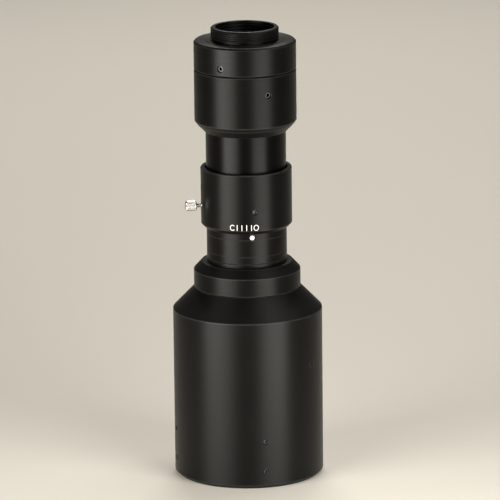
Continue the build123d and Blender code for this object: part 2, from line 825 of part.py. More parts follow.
# Rear glass, seated from the lip of its cell upwards
rear_cell_radius = relay_bore_radius - seat_play
rear_bore_radius = rear_cell_radius - rear_cell_wall
rear_glass_radius = rear_bore_radius - seat_play
rear_stop_radius = rear_glass_radius - rear_lip
rear_lip_top = relay_shelf_height + rear_lip_length
rear_vertex = rear_lip_top - sag(rear_front_curve, rear_stop_radius) + glass_play
rear_meniscus_top = rear_vertex + rear_meniscus_thickness
rear_crown_vertex = rear_meniscus_top + rear_air_gap
rear_crown_front_sag = sag(rear_crown_front_curve, rear_glass_radius)
rear_crown_back_sag = sag(rear_crown_back_curve, rear_glass_radius)
rear_crown_top = rear_crown_vertex + rear_crown_front_sag + rear_crown_edge + rear_crown_back_sag
rear_flint_vertex = rear_crown_top + glass_play
rear_flint_top = rear_flint_vertex + rear_flint_thickness
rear_spacer_bottom = rear_meniscus_top + sag(rear_back_curve, rear_glass_radius) + glass_play
rear_spacer_top = rear_crown_vertex + sag(rear_crown_front_curve, rear_stop_radius) - glass_play
rear_ring_bottom = rear_flint_top + sag(rear_flint_back_curve, rear_glass_radius) + glass_play
rear_ring_top = rear_ring_bottom + rear_ring_thickness
rear_cell_top = rear_ring_top + edge_break
rear_ring_radius = rear_bore_radius + retaining_step
cell_lock_ring_bore = rear_cell_radius - cell_lock_ring_wall

with BuildPart() as rear_meniscus:
    turn_glass(rear_glass_radius, rear_vertex, rear_front_curve, rear_meniscus_top, rear_back_curve)
keep(rear_meniscus, "rear_meniscus")

with BuildPart() as rear_crown:
    turn_glass(
        rear_glass_radius, rear_crown_vertex, rear_crown_front_curve, rear_crown_top, -rear_crown_back_curve
    )
keep(rear_crown, "rear_crown")

with BuildPart() as rear_flint:
    turn_glass(
        rear_glass_radius, rear_flint_vertex, -rear_crown_back_curve, rear_flint_top, rear_flint_back_curve
    )
keep(rear_flint, "rear_flint")

with BuildPart() as rear_spacer:
    turn(
        (rear_stop_radius, rear_spacer_bottom),
        (rear_glass_radius, rear_spacer_bottom),
        (rear_glass_radius, rear_spacer_top),
        (rear_stop_radius, rear_spacer_top),
    )
keep(rear_spacer, "rear_spacer")

with BuildPart() as rear_retaining_ring:
    turn(
        (rear_stop_radius, rear_ring_bottom),
        (rear_ring_radius, rear_ring_bottom),
        (rear_ring_radius, rear_ring_top),
        (rear_stop_radius, rear_ring_top),
    )
    spanner_slots(rear_ring_top, -spanner_slot_depth, rear_stop_radius, rear_ring_radius)
keep(rear_retaining_ring, "rear_retaining_ring")

with BuildPart() as rear_cell:
    turn(
        (rear_stop_radius, relay_shelf_height),
        (rear_cell_radius, relay_shelf_height),
        (rear_cell_radius, rear_cell_top),
        (rear_ring_radius + seat_play, rear_cell_top),
        (rear_ring_radius + seat_play, rear_ring_bottom - edge_break),
        (rear_bore_radius, rear_ring_bottom - edge_break),
        (rear_bore_radius, rear_lip_top),
        (rear_stop_radius, rear_lip_top),
    )
keep(rear_cell, "rear_cell")

with BuildPart() as cell_lock_ring:
    turn(
        (cell_lock_ring_bore, rear_cell_top),
        (rear_cell_radius, rear_cell_top),
        (rear_cell_radius, rear_cell_top + cell_lock_ring_thickness),
        (cell_lock_ring_bore, rear_cell_top + cell_lock_ring_thickness),
    )
    spanner_slots(
        rear_cell_top + cell_lock_ring_thickness, -spanner_slot_depth, cell_lock_ring_bore, rear_cell_radius
    )
keep(cell_lock_ring, "cell_lock_ring")

# Camera adapter, clamped on the relay barrel, with the spigot that the mount ring turns on
adapter_spigot_top = adapter_top + adapter_spigot_length
adapter_facet_radius = adapter_radius - adapter_facet_inset
adapter_screw_height = adapter_top - adapter_screw_drop
mount_screw_height = mount_ring_bottom + mount_screw_rise
mount_groove_half = ring_screw_radius * point_share + turning_play
with BuildPart() as camera_adapter:
    turn(
        (adapter_bore_radius, adapter_bottom),
        (adapter_bore_radius + edge_break, adapter_bottom),
        (adapter_facet_radius, adapter_facet),
        (adapter_radius, adapter_wall_bottom),
        (adapter_radius, adapter_top - edge_break),
        (adapter_radius - edge_break, adapter_top),
        (adapter_spigot_radius, adapter_top),
        (adapter_spigot_radius, adapter_spigot_top),
        (adapter_bore_top, adapter_spigot_top),
        (adapter_bore_top, relay_tube_top),
        (adapter_bore_radius, relay_tube_top),
    )
    turn(
        (adapter_spigot_radius - mount_groove_depth, mount_screw_height - mount_groove_half),
        (adapter_spigot_radius + cut_margin, mount_screw_height - mount_groove_half),
        (adapter_spigot_radius + cut_margin, mount_screw_height + mount_groove_half),
        (adapter_spigot_radius - mount_groove_depth, mount_screw_height + mount_groove_half),
        mode=Mode.SUBTRACT,
    )
    drill(
        side_planes(adapter_screw_angle, ring_screw_sides, (adapter_screw_height,), adapter_radius),
        ring_screw_radius + seat_play,
        adapter_radius - adapter_bore_radius + cut_margin,
    )
keep(camera_adapter, "camera_adapter")

screw_face = adapter_radius - ring_screw_sink
with BuildPart() as adapter_set_screws:
    grub_screws(
        side_planes(adapter_screw_angle, ring_screw_sides, (adapter_screw_height,), screw_face),
        ring_screw_radius,
        screw_face - tube_radius - seat_play / 2,
        ring_screw_point,
    )
keep(adapter_set_screws, "adapter_set_screws")

# Camera mount ring with the camera thread
mount_ring_bore = adapter_spigot_radius + turning_play
mount_ring_floor = adapter_spigot_top + face_play
relief_radius = thread_radius - relief_depth
mount_bore_radius = thread_radius - mount_wall
shoulder_radius = thread_radius + mount_shoulder_step
with BuildPart() as camera_mount_ring:
    turn(
        (mount_ring_bore, mount_ring_bottom),
        (adapter_radius - edge_break, mount_ring_bottom),
        (adapter_radius, mount_ring_bottom + edge_break),
        (adapter_radius, mount_ring_top - mount_edge_chamfer),
        (adapter_radius - mount_edge_chamfer, mount_ring_top),
        (shoulder_radius, mount_ring_top),
        (shoulder_radius, mount_seat),
        (thread_radius + seat_relief_width, mount_seat),
        (thread_radius + seat_relief_width, mount_seat - seat_relief_depth),
        (relief_radius, mount_seat - seat_relief_depth),
        (relief_radius, thread_bottom),
        (thread_radius, thread_bottom),
        (thread_radius, overall_length - thread_chamfer),
        (thread_radius - thread_chamfer, overall_length),
        (mount_bore_radius, overall_length),
        (mount_bore_radius, mount_ring_floor),
        (mount_ring_bore, mount_ring_floor),
    )
    for number in range(glare_groove_count):
        groove_height = overall_length - glare_groove_pitch * (number + 1)
        turn(
            (mount_bore_radius - glare_groove_depth, groove_height - glare_groove_depth),
            (mount_bore_radius + glare_groove_depth, groove_height),
            (mount_bore_radius - glare_groove_depth, groove_height + glare_groove_depth),
            mode=Mode.SUBTRACT,
        )
    drill(
        side_planes(mount_screw_angle, ring_screw_sides, (mount_screw_height,), adapter_radius),
        ring_screw_radius + seat_play,
        adapter_radius - mount_ring_bore + cut_margin,
    )
keep(camera_mount_ring, "camera_mount_ring")

with BuildPart() as mount_set_screws:
    grub_screws(
        side_planes(mount_screw_angle, ring_screw_sides, (mount_screw_height,), screw_face),
        ring_screw_radius,
        screw_face - adapter_spigot_radius + mount_groove_depth - 2 * face_play,
        mount_groove_depth + turning_play,
    )
keep(mount_set_screws, "mount_set_screws")
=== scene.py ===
"""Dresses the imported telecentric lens: turned and anodised pieces, screws, scale, glass and studio.

Lengths of the lens are in millimetres until a mesh is made, which turns them into metres; the
studio is in metres throughout. Angles are in degrees from the front (-Y), counter-clockwise seen
from the camera end.
"""

import json
import logging
import math
from dataclasses import dataclass, field
from enum import Enum
from typing import Callable, Sequence

import bpy
import numpy as np
from mathutils import Matrix, Vector

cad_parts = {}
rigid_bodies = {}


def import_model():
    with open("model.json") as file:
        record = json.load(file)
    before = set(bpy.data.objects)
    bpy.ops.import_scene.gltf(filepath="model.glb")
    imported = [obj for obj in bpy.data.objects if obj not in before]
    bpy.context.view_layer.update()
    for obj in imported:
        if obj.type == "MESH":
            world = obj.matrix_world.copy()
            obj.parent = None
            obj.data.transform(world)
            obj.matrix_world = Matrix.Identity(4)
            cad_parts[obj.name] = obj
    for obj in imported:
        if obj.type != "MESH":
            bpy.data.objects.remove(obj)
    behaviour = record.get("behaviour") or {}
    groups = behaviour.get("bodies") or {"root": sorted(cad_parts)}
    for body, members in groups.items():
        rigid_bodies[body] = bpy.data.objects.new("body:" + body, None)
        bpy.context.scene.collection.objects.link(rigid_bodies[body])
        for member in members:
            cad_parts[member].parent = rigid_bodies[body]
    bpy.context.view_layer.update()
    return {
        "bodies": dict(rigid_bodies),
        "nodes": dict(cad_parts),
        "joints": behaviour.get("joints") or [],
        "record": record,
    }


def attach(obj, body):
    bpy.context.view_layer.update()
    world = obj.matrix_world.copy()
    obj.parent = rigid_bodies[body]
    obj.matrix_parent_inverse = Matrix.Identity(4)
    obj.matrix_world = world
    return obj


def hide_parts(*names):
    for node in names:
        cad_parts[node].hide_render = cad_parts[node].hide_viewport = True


MM = 0.001
UP = Vector((0.0, 0.0, 1.0))
SHARP_ANGLE = math.radians(29)
BEVEL_SHARE = 0.42  # Share of a side of the section that a rounding may take
SUPPORT_SHARE = 0.49  # The same for a rounding with its support point
TOUCHING = 1e-6  # Millimetres within which two radii are the same
CLOSE = 1e-4  # Millimetres or degrees within which two rows or columns are the same
LOWER_LEFT = -135  # Direction of the first corner of the square round a hole
log = logging.getLogger("telecentric_lens")


class Outline(Enum):
    """Shape of a turned piece in the section across its axis."""

    ROUND = "round"
    HEXAGON = "hexagon"
    KNURLED = "knurled"
    THREADED = "threaded"


@dataclass(frozen=True)
class Point:
    """A point of a turned section: radius, height along the axis, its share of paler paint (wear and painted
    edge highlight) and its outline.
    """

    r: float
    z: float
    wear_and_sheen: float = 0.0
    outline: Outline = Outline.ROUND


@dataclass(frozen=True)
class Corner:
    """A corner of a turned section, rounded over a length of its two sides."""

    r: float
    z: float
    round: float = 0.05
    outline: Outline = Outline.ROUND


@dataclass(frozen=True)
class Hole:
    """A round hole drilled square into the outer wall of a turned piece."""

    angle: float
    z: float
    radius: float
    depth: float
    chamfer: float = 0.1
    margin: float = 0.45


@dataclass(frozen=True)
class Knurl:
    """Straight knurl: how many ridges it has, how deep its grooves are and their half width a ridge."""

    count: int
    depth: float
    groove_half: float = 0.28


@dataclass(frozen=True)
class Thread:
    """Right-handed screw thread, cut between two heights, its form given in shares of the pitch."""

    pitch: float
    depth: float
    low: float
    high: float
    crest_half: float = 0.06
    flank: float = 0.38
    run_in: float = 0.6


@dataclass(frozen=True)
class Measured:
    """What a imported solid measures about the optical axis, in millimetres."""

    low: float
    high: float
    inner: float
    outer: float

    @classmethod
    def of(cls, frame: dict, node: str) -> "Measured":
        """Measures a node of the frame.

        Args:
            node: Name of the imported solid.

        Returns:
            Its lowest and highest height and its smallest and largest radius.
        """
        mesh = frame["nodes"][node].data
        places = np.empty(len(mesh.vertices) * 3, np.float32)
        mesh.vertices.foreach_get("co", places)
        places = places.reshape(-1, 3).astype(float) / MM
        radii = np.hypot(places[:, 0], places[:, 1])
        sizes = (places[:, 2].min(), places[:, 2].max(), radii.min(), radii.max())
        return cls(*(round(float(size), 3) for size in sizes))

    def face(self, radius: float) -> float:
        """Returns how far from the optical axis the outer face of a side screw of that radius lies."""
        return math.sqrt(self.outer**2 - radius**2)


def outward(angle: float) -> Vector:
    """Returns the unit vector that points away from the optical axis at an angle from the front."""
    turned = math.radians(angle)
    return Vector((math.sin(turned), -math.cos(turned), 0.0))


def side_matrix(angle: float, z: float, radius: float) -> Matrix:
    """Gives the placing of a piece whose own axis points away from the optical axis.

    Args:
        angle: Angle from the front.
        z: Height on the optical axis.
        radius: Distance from the optical axis of the piece's own origin.

    Returns:
        Matrix in millimetres that turns the piece's +Z outwards and sets it in its place.
    """
    out = outward(angle)
    turn = Matrix((UP.cross(out), UP, out)).transposed().to_4x4()
    return Matrix.Translation(out * radius + UP * z) @ turn


def rounded(
    corners: Sequence[Corner], closed: bool = True, steps: int = 4, support: float = 0.14
) -> list[Point]:
    """Rounds the corners of a turned section and sets a support point beside each rounding.

    Args:
        corners: Corners in order, the outer wall upwards first.
        closed: Whether the last corner joins the first.
        steps: Segments of each rounding.
        support: Distance of the support points from the rounding.

    Returns:
        The points of the section, the rounded ones marked for paler paint: wear and painted edge highlight.
    """
    points: list[Point] = []
    count = len(corners)
    for index, corner in enumerate(corners):
        if not closed and index in (0, count - 1):
            points.append(Point(corner.r, corner.z, 0.0, corner.outline))
            continue
        place = np.array((corner.r, corner.z))
        before = np.array((corners[index - 1].r, corners[index - 1].z)) - place
        after = corners[(index + 1) % count]
        after = np.array((after.r, after.z)) - place
        reach_before, reach_after = np.linalg.norm(before), np.linalg.norm(after)
        bevel = min(corner.round, BEVEL_SHARE * reach_before, BEVEL_SHARE * reach_after)
        before, after = before / reach_before, after / reach_after
        if bevel + support < SUPPORT_SHARE * reach_before:
            points.append(Point(*(place + before * (bevel + support)), 0.0, corner.outline))
        for step in range(steps + 1):
            t = step / steps
            bent = place + before * bevel * (1 - t) ** 2 + after * bevel * t**2
            # Rounded rows get the full share of paler paint: wear and painted edge highlight.
            points.append(Point(*bent, 1.0, corner.outline))
        if bevel + support < SUPPORT_SHARE * reach_after:
            points.append(Point(*(place + after * (bevel + support)), 0.0, corner.outline))
    return points


@dataclass
class MeshParts:
    """Vertices, faces and share of paler paint (wear and painted edge highlight) of a mesh in the making, in
    millimetres.
    """

    places: list[tuple[float, float, float]] = field(default_factory=list)
    faces: list[tuple[int, ...]] = field(default_factory=list)
    wear_and_sheen: list[float] = field(default_factory=list)

    def add(self, places: np.ndarray, faces: Sequence[Sequence[int]], wear_and_sheen: Sequence[float]) -> None:
        """Adds an island of vertices and faces.

        Args:
            places: One row of three coordinates a vertex.
            faces: Vertex numbers of each face, counted from the island's first vertex.
            wear_and_sheen: Share of paler paint, wear and painted edge highlight, of each vertex.
        """
        start = len(self.places)
        self.places.extend(map(tuple, places))
        self.faces.extend(tuple(start + number for number in face) for face in faces)
        self.wear_and_sheen.extend(float(value) for value in wear_and_sheen)

    def mesh(self, name: str, sharp: float = SHARP_ANGLE) -> bpy.types.Mesh:
        """Makes the Blender mesh, in metres, smooth but for the edges over the sharp angle.

        Args:
            name: Name of the mesh.
            sharp: Angle between faces from which their edge stays sharp.

        Returns:
            The mesh, with its share of paler paint (wear and painted edge highlight) as a point attribute.
        """
        mesh = bpy.data.meshes.new(name)
        mesh.from_pydata([tuple(value * MM for value in place) for place in self.places], [], self.faces)
        mesh.polygons.foreach_set("use_smooth", [True] * len(mesh.polygons))
        mesh.set_sharp_from_angle(angle=sharp)
        wear_and_sheen_share = mesh.attributes.new("edge_wear_and_sheen", "FLOAT", "POINT")
        wear_and_sheen_share.data.foreach_set("value", self.wear_and_sheen)
        mesh.validate()
        mesh.update()
        return mesh


@dataclass
class Turned:
    """A piece turned about an axis, with holes drilled into its outer wall.

    Args:
        points: Section, the outer wall upwards first.
        columns: Steps round the axis.
        closed: Whether the section is a closed loop; an open one starts and ends on the axis.
        holes: Holes in the outer wall.
        knurl: Ridges of the points with a knurled outline.
        thread: Thread of the points with a threaded outline.
        placing: Where the piece's own axis lies.
        cells: Cells of the grid along each side of a hole's patch.
        patch_shares: Where a patch's inner rows lie between its square and the hole's mouth.
        mouth_band: Width of the flat band round a hole's mouth.
        chamfer_wear_and_sheen: Share of paler paint, wear and painted edge highlight, at the foot of a hole's
            chamfer.
        column_room: Least gap beside a patch, as a share of the step between columns.
    """

    points: list[Point]
    columns: int = 256
    closed: bool = True
    holes: Sequence[Hole] = ()
    knurl: Knurl | None = None
    thread: Thread | None = None
    placing: Matrix | None = None
    cells: int = 8
    patch_shares: tuple[float, float] = (0.35, 0.7)
    mouth_band: float = 0.06
    chamfer_wear_and_sheen: float = 0.6
    column_room: float = 0.35

    def build(self, parts: MeshParts | None = None) -> MeshParts:
        """Builds the piece.

        Args:
            parts: Mesh that the piece is added to; a new one when left out.

        Returns:
            The mesh parts with the piece in them.
        """
        parts = parts or MeshParts()
        points = self._with_hole_rows()
        angles = self._column_angles()
        places, index = self._places(points, angles)
        wear_and_sheen = self._wear_and_sheen(points, index, len(places))
        skipped, patches = self._patches(points, angles)
        faces = self._faces(points, angles, index, skipped)
        rows = [places]
        for hole, loop in patches:
            self._drill(hole, [index[row, column] for row, column in loop], rows, faces, wear_and_sheen)
        places = np.vstack(rows)
        if self.placing is not None:
            turn = np.array(self.placing)
            places = places @ turn[:3, :3].T + turn[:3, 3]
        parts.add(places, faces, wear_and_sheen)
        return parts

    def _half(self, hole: Hole) -> float:
        """Returns half the width of the patch that is cut out for a hole."""
        return hole.radius + hole.chamfer + hole.margin

    def _wall_radius(self, z: float) -> float:
        """Returns the radius of the outer wall at a height."""
        for first, second in zip(self.points, self.points[1:]):
            if abs(first.r - second.r) < TOUCHING and first.z < z < second.z:
                return first.r
        raise ValueError(f"no straight wall at height {z}")

    def _with_hole_rows(self) -> list[Point]:
        """Returns the section with the rows that the holes' patches need."""
        rows: dict[float, set[float]] = {}
        for hole in self.holes:
            wall, half = self._wall_radius(hole.z), self._half(hole)
            heights = (hole.z - half + 2 * half * step / self.cells for step in range(self.cells + 1))
            rows.setdefault(wall, set()).update(round(height, 5) for height in heights)
        points: list[Point] = []
        for number, point in enumerate(self.points):
            points.append(point)
            after = self.points[(number + 1) % len(self.points)]
            if point.r in rows and abs(after.r - point.r) < TOUCHING and after.z > point.z:
                inside = sorted(height for height in rows[point.r] if point.z < height < after.z)
                points.extend(Point(point.r, height) for height in inside)
        return points

    def _column_angles(self) -> list[float]:
        """Returns the columns' angles, even but for those that the holes' patches need."""
        step = 360 / self.columns
        even = [step * number for number in range(self.columns)]
        extra: list[float] = []
        for hole in self.holes:
            wall = self._wall_radius(hole.z)
            half = math.degrees(math.asin(self._half(hole) / wall))
            room = half + self.column_room * step
            even = [angle for angle in even if abs((angle - hole.angle + 180) % 360 - 180) > room]
            for number in range(self.cells + 1):
                angle = (hole.angle - half + 2 * half * number / self.cells) % 360
                if all(abs((angle - other + 180) % 360 - 180) > CLOSE for other in extra):
                    extra.append(angle)
        return sorted(even + extra)

    def _radius(self, point: Point, angles: np.ndarray) -> np.ndarray:
        """Returns the radius of a point of the section at each column.

        Args:
            point: Point of the section.
            angles: Columns' angles.

        Returns:
            One radius a column.
        """
        if point.outline is Outline.HEXAGON:
            off = (angles % 60) - 30
            return point.r / np.cos(np.radians(off))
        if point.outline is Outline.KNURLED and self.knurl is not None:
            phase = angles / 360 * self.knurl.count % 1
            groove = np.clip(1 - np.abs(phase - 0.5) / self.knurl.groove_half, 0, 1)
            return point.r - self.knurl.depth * groove
        if point.outline is Outline.THREADED and self.thread is not None:
            thread = self.thread
            phase = (point.z / thread.pitch - angles / 360) % 1
            flank = np.clip((np.abs(phase - 0.5) - thread.crest_half) / thread.flank, 0, 1)
            run_in = thread.pitch * thread.run_in
            fade = min(max((point.z - thread.low) / run_in, 0), 1)
            fade *= min(max((thread.high - point.z) / run_in, 0), 1)
            return point.r - thread.depth * fade * flank
        return np.full(len(angles), point.r)

    def _places(self, points: list[Point], angles: list[float]) -> tuple[np.ndarray, np.ndarray]:
        """Places the vertices of the grid.

        Args:
            points: Section with all its rows.
            angles: Columns' angles.

        Returns:
            The vertices, and the number of the vertex at each row and column.
        """
        around = np.array(angles)
        turned = np.radians(around)
        index = np.zeros((len(points), len(angles)), int)
        rows = []
        total = 0
        for number, point in enumerate(points):
            if point.r < TOUCHING:
                rows.append(np.array([[0.0, 0.0, point.z]]))
                index[number, :] = total
                total += 1
                continue
            radius = self._radius(point, around)
            height = np.full(len(angles), point.z)
            rows.append(np.column_stack((radius * np.sin(turned), -radius * np.cos(turned), height)))
            index[number, :] = total + np.arange(len(angles))
            total += len(angles)
        return np.vstack(rows), index

    def _wear_and_sheen(self, points: list[Point], index: np.ndarray, count: int) -> list[float]:
        """Returns each vertex's share of paler paint (wear and painted edge highlight), from that of its
        point of the section.
        """
        wear_and_sheen = np.zeros(count)
        for number, point in enumerate(points):
            wear_and_sheen[index[number]] = point.wear_and_sheen
        return wear_and_sheen.tolist()

    def _row_at(self, points: list[Point], wall: float, z: float) -> int:
        """Returns the number of the section's point that lies on a wall at a height."""
        return next(
            number for number, point in enumerate(points)
            if abs(point.r - wall) < TOUCHING and abs(point.z - z) < CLOSE
        )

    def _patches(self, points: list[Point], angles: list[float]) -> tuple[set[tuple[int, int]], list]:
        """Finds the cells that the holes take and the loop of vertices round each.

        Args:
            points: Section with all its rows.
            angles: Columns' angles.

        Returns:
            The cells that are left out, and each hole with the rows and columns of its loop.
        """
        skipped: set[tuple[int, int]] = set()
        patches = []
        around = np.array(angles)
        for hole in self.holes:
            wall, half = self._wall_radius(hole.z), self._half(hole)
            low = self._row_at(points, wall, hole.z - half)
            high = self._row_at(points, wall, hole.z + half)
            half_angle = math.degrees(math.asin(half / wall))
            start = (hole.angle - half_angle) % 360
            first = int(np.argmin(np.abs((around - start + 180) % 360 - 180)))
            columns = [(first + step) % len(angles) for step in range(self.cells + 1)]
            levels = list(range(low, high + 1))
            for level in levels[:-1]:
                skipped.update((level, column) for column in columns[:-1])
            loop = [(low, column) for column in columns[:-1]]
            loop += [(level, columns[-1]) for level in levels[:-1]]
            loop += [(high, column) for column in reversed(columns[1:])]
            loop += [(level, columns[0]) for level in reversed(levels[1:])]
            patches.append((hole, loop))
        return skipped, patches

    def _faces(
        self, points: list[Point], angles: list[float], index: np.ndarray, skipped: set[tuple[int, int]]
    ) -> list[tuple[int, ...]]:
        """Joins the grid's vertices.

        Args:
            points: Section with all its rows.
            angles: Columns' angles.
            index: Vertex number at each row and column.
            skipped: Cells that the holes take.

        Returns:
            The faces, triangles where a row lies on the axis.
        """
        faces: list[tuple[int, ...]] = []
        count = len(angles)
        for row in range(len(points) if self.closed else len(points) - 1):
            above = (row + 1) % len(points)
            for column in range(count):
                if (row, column) in skipped:
                    continue
                beside = (column + 1) % count
                corners = (index[row, column], index[row, beside], index[above, beside], index[above, column])
                kept = tuple(int(n) for k, n in enumerate(corners) if n != corners[k - 1])
                if len(kept) > 2:
                    faces.append(kept)
        return faces

    def _drill(
        self, hole: Hole, loop: list[int], rows: list[np.ndarray], faces: list[tuple[int, ...]],
        wear_and_sheen: list[float],
    ) -> None:
        """Fills the patch round a hole with the hole's mouth, its chamfer, wall and floor.

        Args:
            hole: The hole.
            loop: Vertex numbers round the patch, counter-clockwise seen from outside.
            rows: Vertices so far; the hole's are added.
            faces: Faces so far; the hole's are added.
            wear_and_sheen: Share of paler paint, wear and painted edge highlight, so far; the hole's is
                added.
        """
        wall, half, count = self._wall_radius(hole.z), self._half(hole), len(loop)
        first = sum(len(block) for block in rows)
        mouth = hole.radius + hole.chamfer
        outer = self._square(half, count)
        turns = [math.radians(LOWER_LEFT + 360 * n / count) for n in range(count)]
        circle = [(math.cos(turned), math.sin(turned)) for turned in turns]
        rings: list[tuple[list[tuple[float, float]], float, float]] = []
        for share in self.patch_shares:
            mixed = [
                (s * (1 - share) + c * mouth * share, t * (1 - share) + d * mouth * share)
                for (s, t), (c, d) in zip(outer, circle)
            ]
            rings.append((mixed, 0.0, 0.0))
        # The mouth's rim and the chamfer are painted paler: wear and painted edge highlight.
        for radius, depth, wear_and_sheen_share in (
            (mouth + self.mouth_band, 0.0, 0.0), (mouth, 0.0, 1.0),
            (hole.radius, hole.chamfer, self.chamfer_wear_and_sheen), (hole.radius, hole.depth, 0.0),
        ):
            rings.append(([(c * radius, d * radius) for c, d in circle], depth, wear_and_sheen_share))
        out = np.array(outward(hole.angle))
        across = np.array((-out[1], out[0], 0.0))
        previous = loop
        for offsets, depth, wear_and_sheen_share in rings:
            block = []
            for s, t in offsets:
                reach = math.sqrt(wall * wall - s * s) - depth
                block.append(out * reach + across * s + np.array((0.0, 0.0, hole.z + t)))
            rows.append(np.array(block))
            wear_and_sheen.extend([wear_and_sheen_share] * count)
            ring = list(range(first, first + count))
            first += count
            for n in range(count):
                faces.append((previous[n], previous[(n + 1) % count], ring[(n + 1) % count], ring[n]))
            previous = ring
        rows.append(np.array([out * (wall - hole.depth) + np.array((0.0, 0.0, hole.z))]))
        wear_and_sheen.append(0.0)
        faces.extend((previous[n], previous[(n + 1) % count], first) for n in range(count))

    def _square(self, half: float, count: int) -> list[tuple[float, float]]:
        """Returns points round a square, counter-clockwise from its lower left corner."""
        side = count // 4
        steps = [2 * half * n / side - half for n in range(side)]
        return (
            [(step, -half) for step in steps]
            + [(half, step) for step in steps]
            + [(-step, half) for step in steps]
            + [(-half, -step) for step in steps]
        )


@dataclass
class Graph:
    """Node tree of a material, with short ways to add and join nodes."""

    material: bpy.types.Material
    tree: bpy.types.NodeTree
    surface: bpy.types.ShaderNode

    @classmethod
    def new(cls, name: str) -> "Graph":
        """Starts a material with one Principled shader.

        Args:
            name: Name of the material.

        Returns:
            The graph.
        """
        material = bpy.data.materials.new(name)
        material.use_nodes = True
        tree = material.node_tree
        return cls(material, tree, tree.nodes["Principled BSDF"])

    def set(self, **values: float | tuple[float, ...]) -> None:
        """Sets sockets of the Principled shader; a socket's name is written with underscores."""
        for name, value in values.items():
            self.surface.inputs[name.replace("_", " ")].default_value = value

    def node(self, kind: str, inputs: dict | None = None, **settings) -> bpy.types.Node:
        """Adds a node.

        Args:
            kind: Blender's name of the node type, without ShaderNode.
            inputs: Values or output sockets for its inputs, by name or number.
            settings: Settings of the node itself.

        Returns:
            The node.
        """
        node = self.tree.nodes.new("ShaderNode" + kind)
        for name, value in settings.items():
            setattr(node, name, value)
        for name, value in (inputs or {}).items():
            if isinstance(value, bpy.types.NodeSocket):
                self.tree.links.new(value, node.inputs[name])
            else:
                node.inputs[name].default_value = value
        return node

    def math(self, operation: str, first, second=None, clamp: bool = False) -> bpy.types.NodeSocket:
        """Adds a Math node.

        Args:
            operation: Blender's name of the operation.
            first: Number or socket.
            second: Number or socket, where the operation needs one.
            clamp: Whether the result stays from 0 to 1.

        Returns:
            Its output socket.
        """
        inputs = {0: first} if second is None else {0: first, 1: second}
        return self.node("Math", inputs, operation=operation, use_clamp=clamp).outputs[0]

    def noise(self, place, scale: float, detail: float = 2.0, dimensions: str = "3D") -> bpy.types.NodeSocket:
        """Adds a Noise Texture and returns its value.

        Args:
            place: Socket with the place, or with the number for one dimension.
            scale: Features a metre.
            detail: Octaves.
            dimensions: Blender's name of the number of dimensions.

        Returns:
            Socket of the noise, about 0.5 in the mean.
        """
        key = "W" if dimensions == "1D" else "Vector"
        node = self.node("TexNoise", {key: place}, noise_dimensions=dimensions)
        node.inputs["Scale"].default_value = scale
        node.inputs["Detail"].default_value = detail
        return node.outputs[0]

    def ramp(self, factor, *stops: tuple[float, tuple[float, float, float]]) -> bpy.types.NodeSocket:
        """Adds a Color Ramp.

        Args:
            factor: Socket that drives it.
            stops: Places and colours, in order.

        Returns:
            Its colour socket.
        """
        node = self.node("ValToRGB", {"Fac": factor})
        marks = node.color_ramp.elements
        while len(marks) < len(stops):
            marks.new(0.5)
        for mark, (place, colour) in zip(marks, stops):
            mark.position = place
            mark.color = (*colour, 1.0)
        return node.outputs[0]

    def span(self, value, low: float, high: float) -> bpy.types.NodeSocket:
        """Adds a Map Range from 0..1 to low..high and returns its output."""
        return self.node("MapRange", {0: value, 3: low, 4: high}).outputs[0]

    def place(self) -> bpy.types.NodeSocket:
        """Returns the socket of the object's own coordinates, in metres."""
        return self.node("TexCoord").outputs["Object"]

    def turned_line(self, place: bpy.types.NodeSocket, weight: float = 1.31) -> bpy.types.NodeSocket:
        """Adds a length that grows along a turned section, so that turning marks follow it.

        Args:
            place: Socket with the place on the piece.
            weight: How much more a way outwards counts than one along the axis.

        Returns:
            Socket of that length.
        """
        split = self.node("SeparateXYZ", {0: place})
        radius = self.math("SQRT", self.math(
            "ADD", self.math("MULTIPLY", split.outputs[0], split.outputs[0]),
            self.math("MULTIPLY", split.outputs[1], split.outputs[1]),
        ))
        return self.math("ADD", self.math("MULTIPLY", radius, weight), split.outputs[2])

    def link(self, output: bpy.types.NodeSocket, name: str) -> None:
        """Joins a socket to an input of the Principled shader."""
        self.tree.links.new(output, self.surface.inputs[name])

    def bump(self, *layers: tuple[bpy.types.NodeSocket, float]) -> None:
        """Adds one Bump node a layer, each over the last, and joins them to the shader.

        Args:
            layers: Height socket and depth in metres of each layer.
        """
        normal = None
        for height, depth in layers:
            inputs = {"Height": height, "Distance": depth, "Strength": 1.0}
            if normal is not None:
                inputs["Normal"] = normal
            normal = self.node("Bump", inputs).outputs[0]
        self.link(normal, "Normal")


class Finish:
    """A surface finish that makes its material once and then gives the same one."""

    label: str = "finish"
    made: dict[str, bpy.types.Material] = {}

    def material(self) -> bpy.types.Material:
        """Returns the finish's material, made at the first call."""
        if self.label not in Finish.made:
            graph = Graph.new(self.label)
            self.paint(graph)
            Finish.made[self.label] = graph.material
        return Finish.made[self.label]

    def paint(self, graph: Graph) -> None:
        """Fills the graph; each finish has its own."""
        raise NotImplementedError


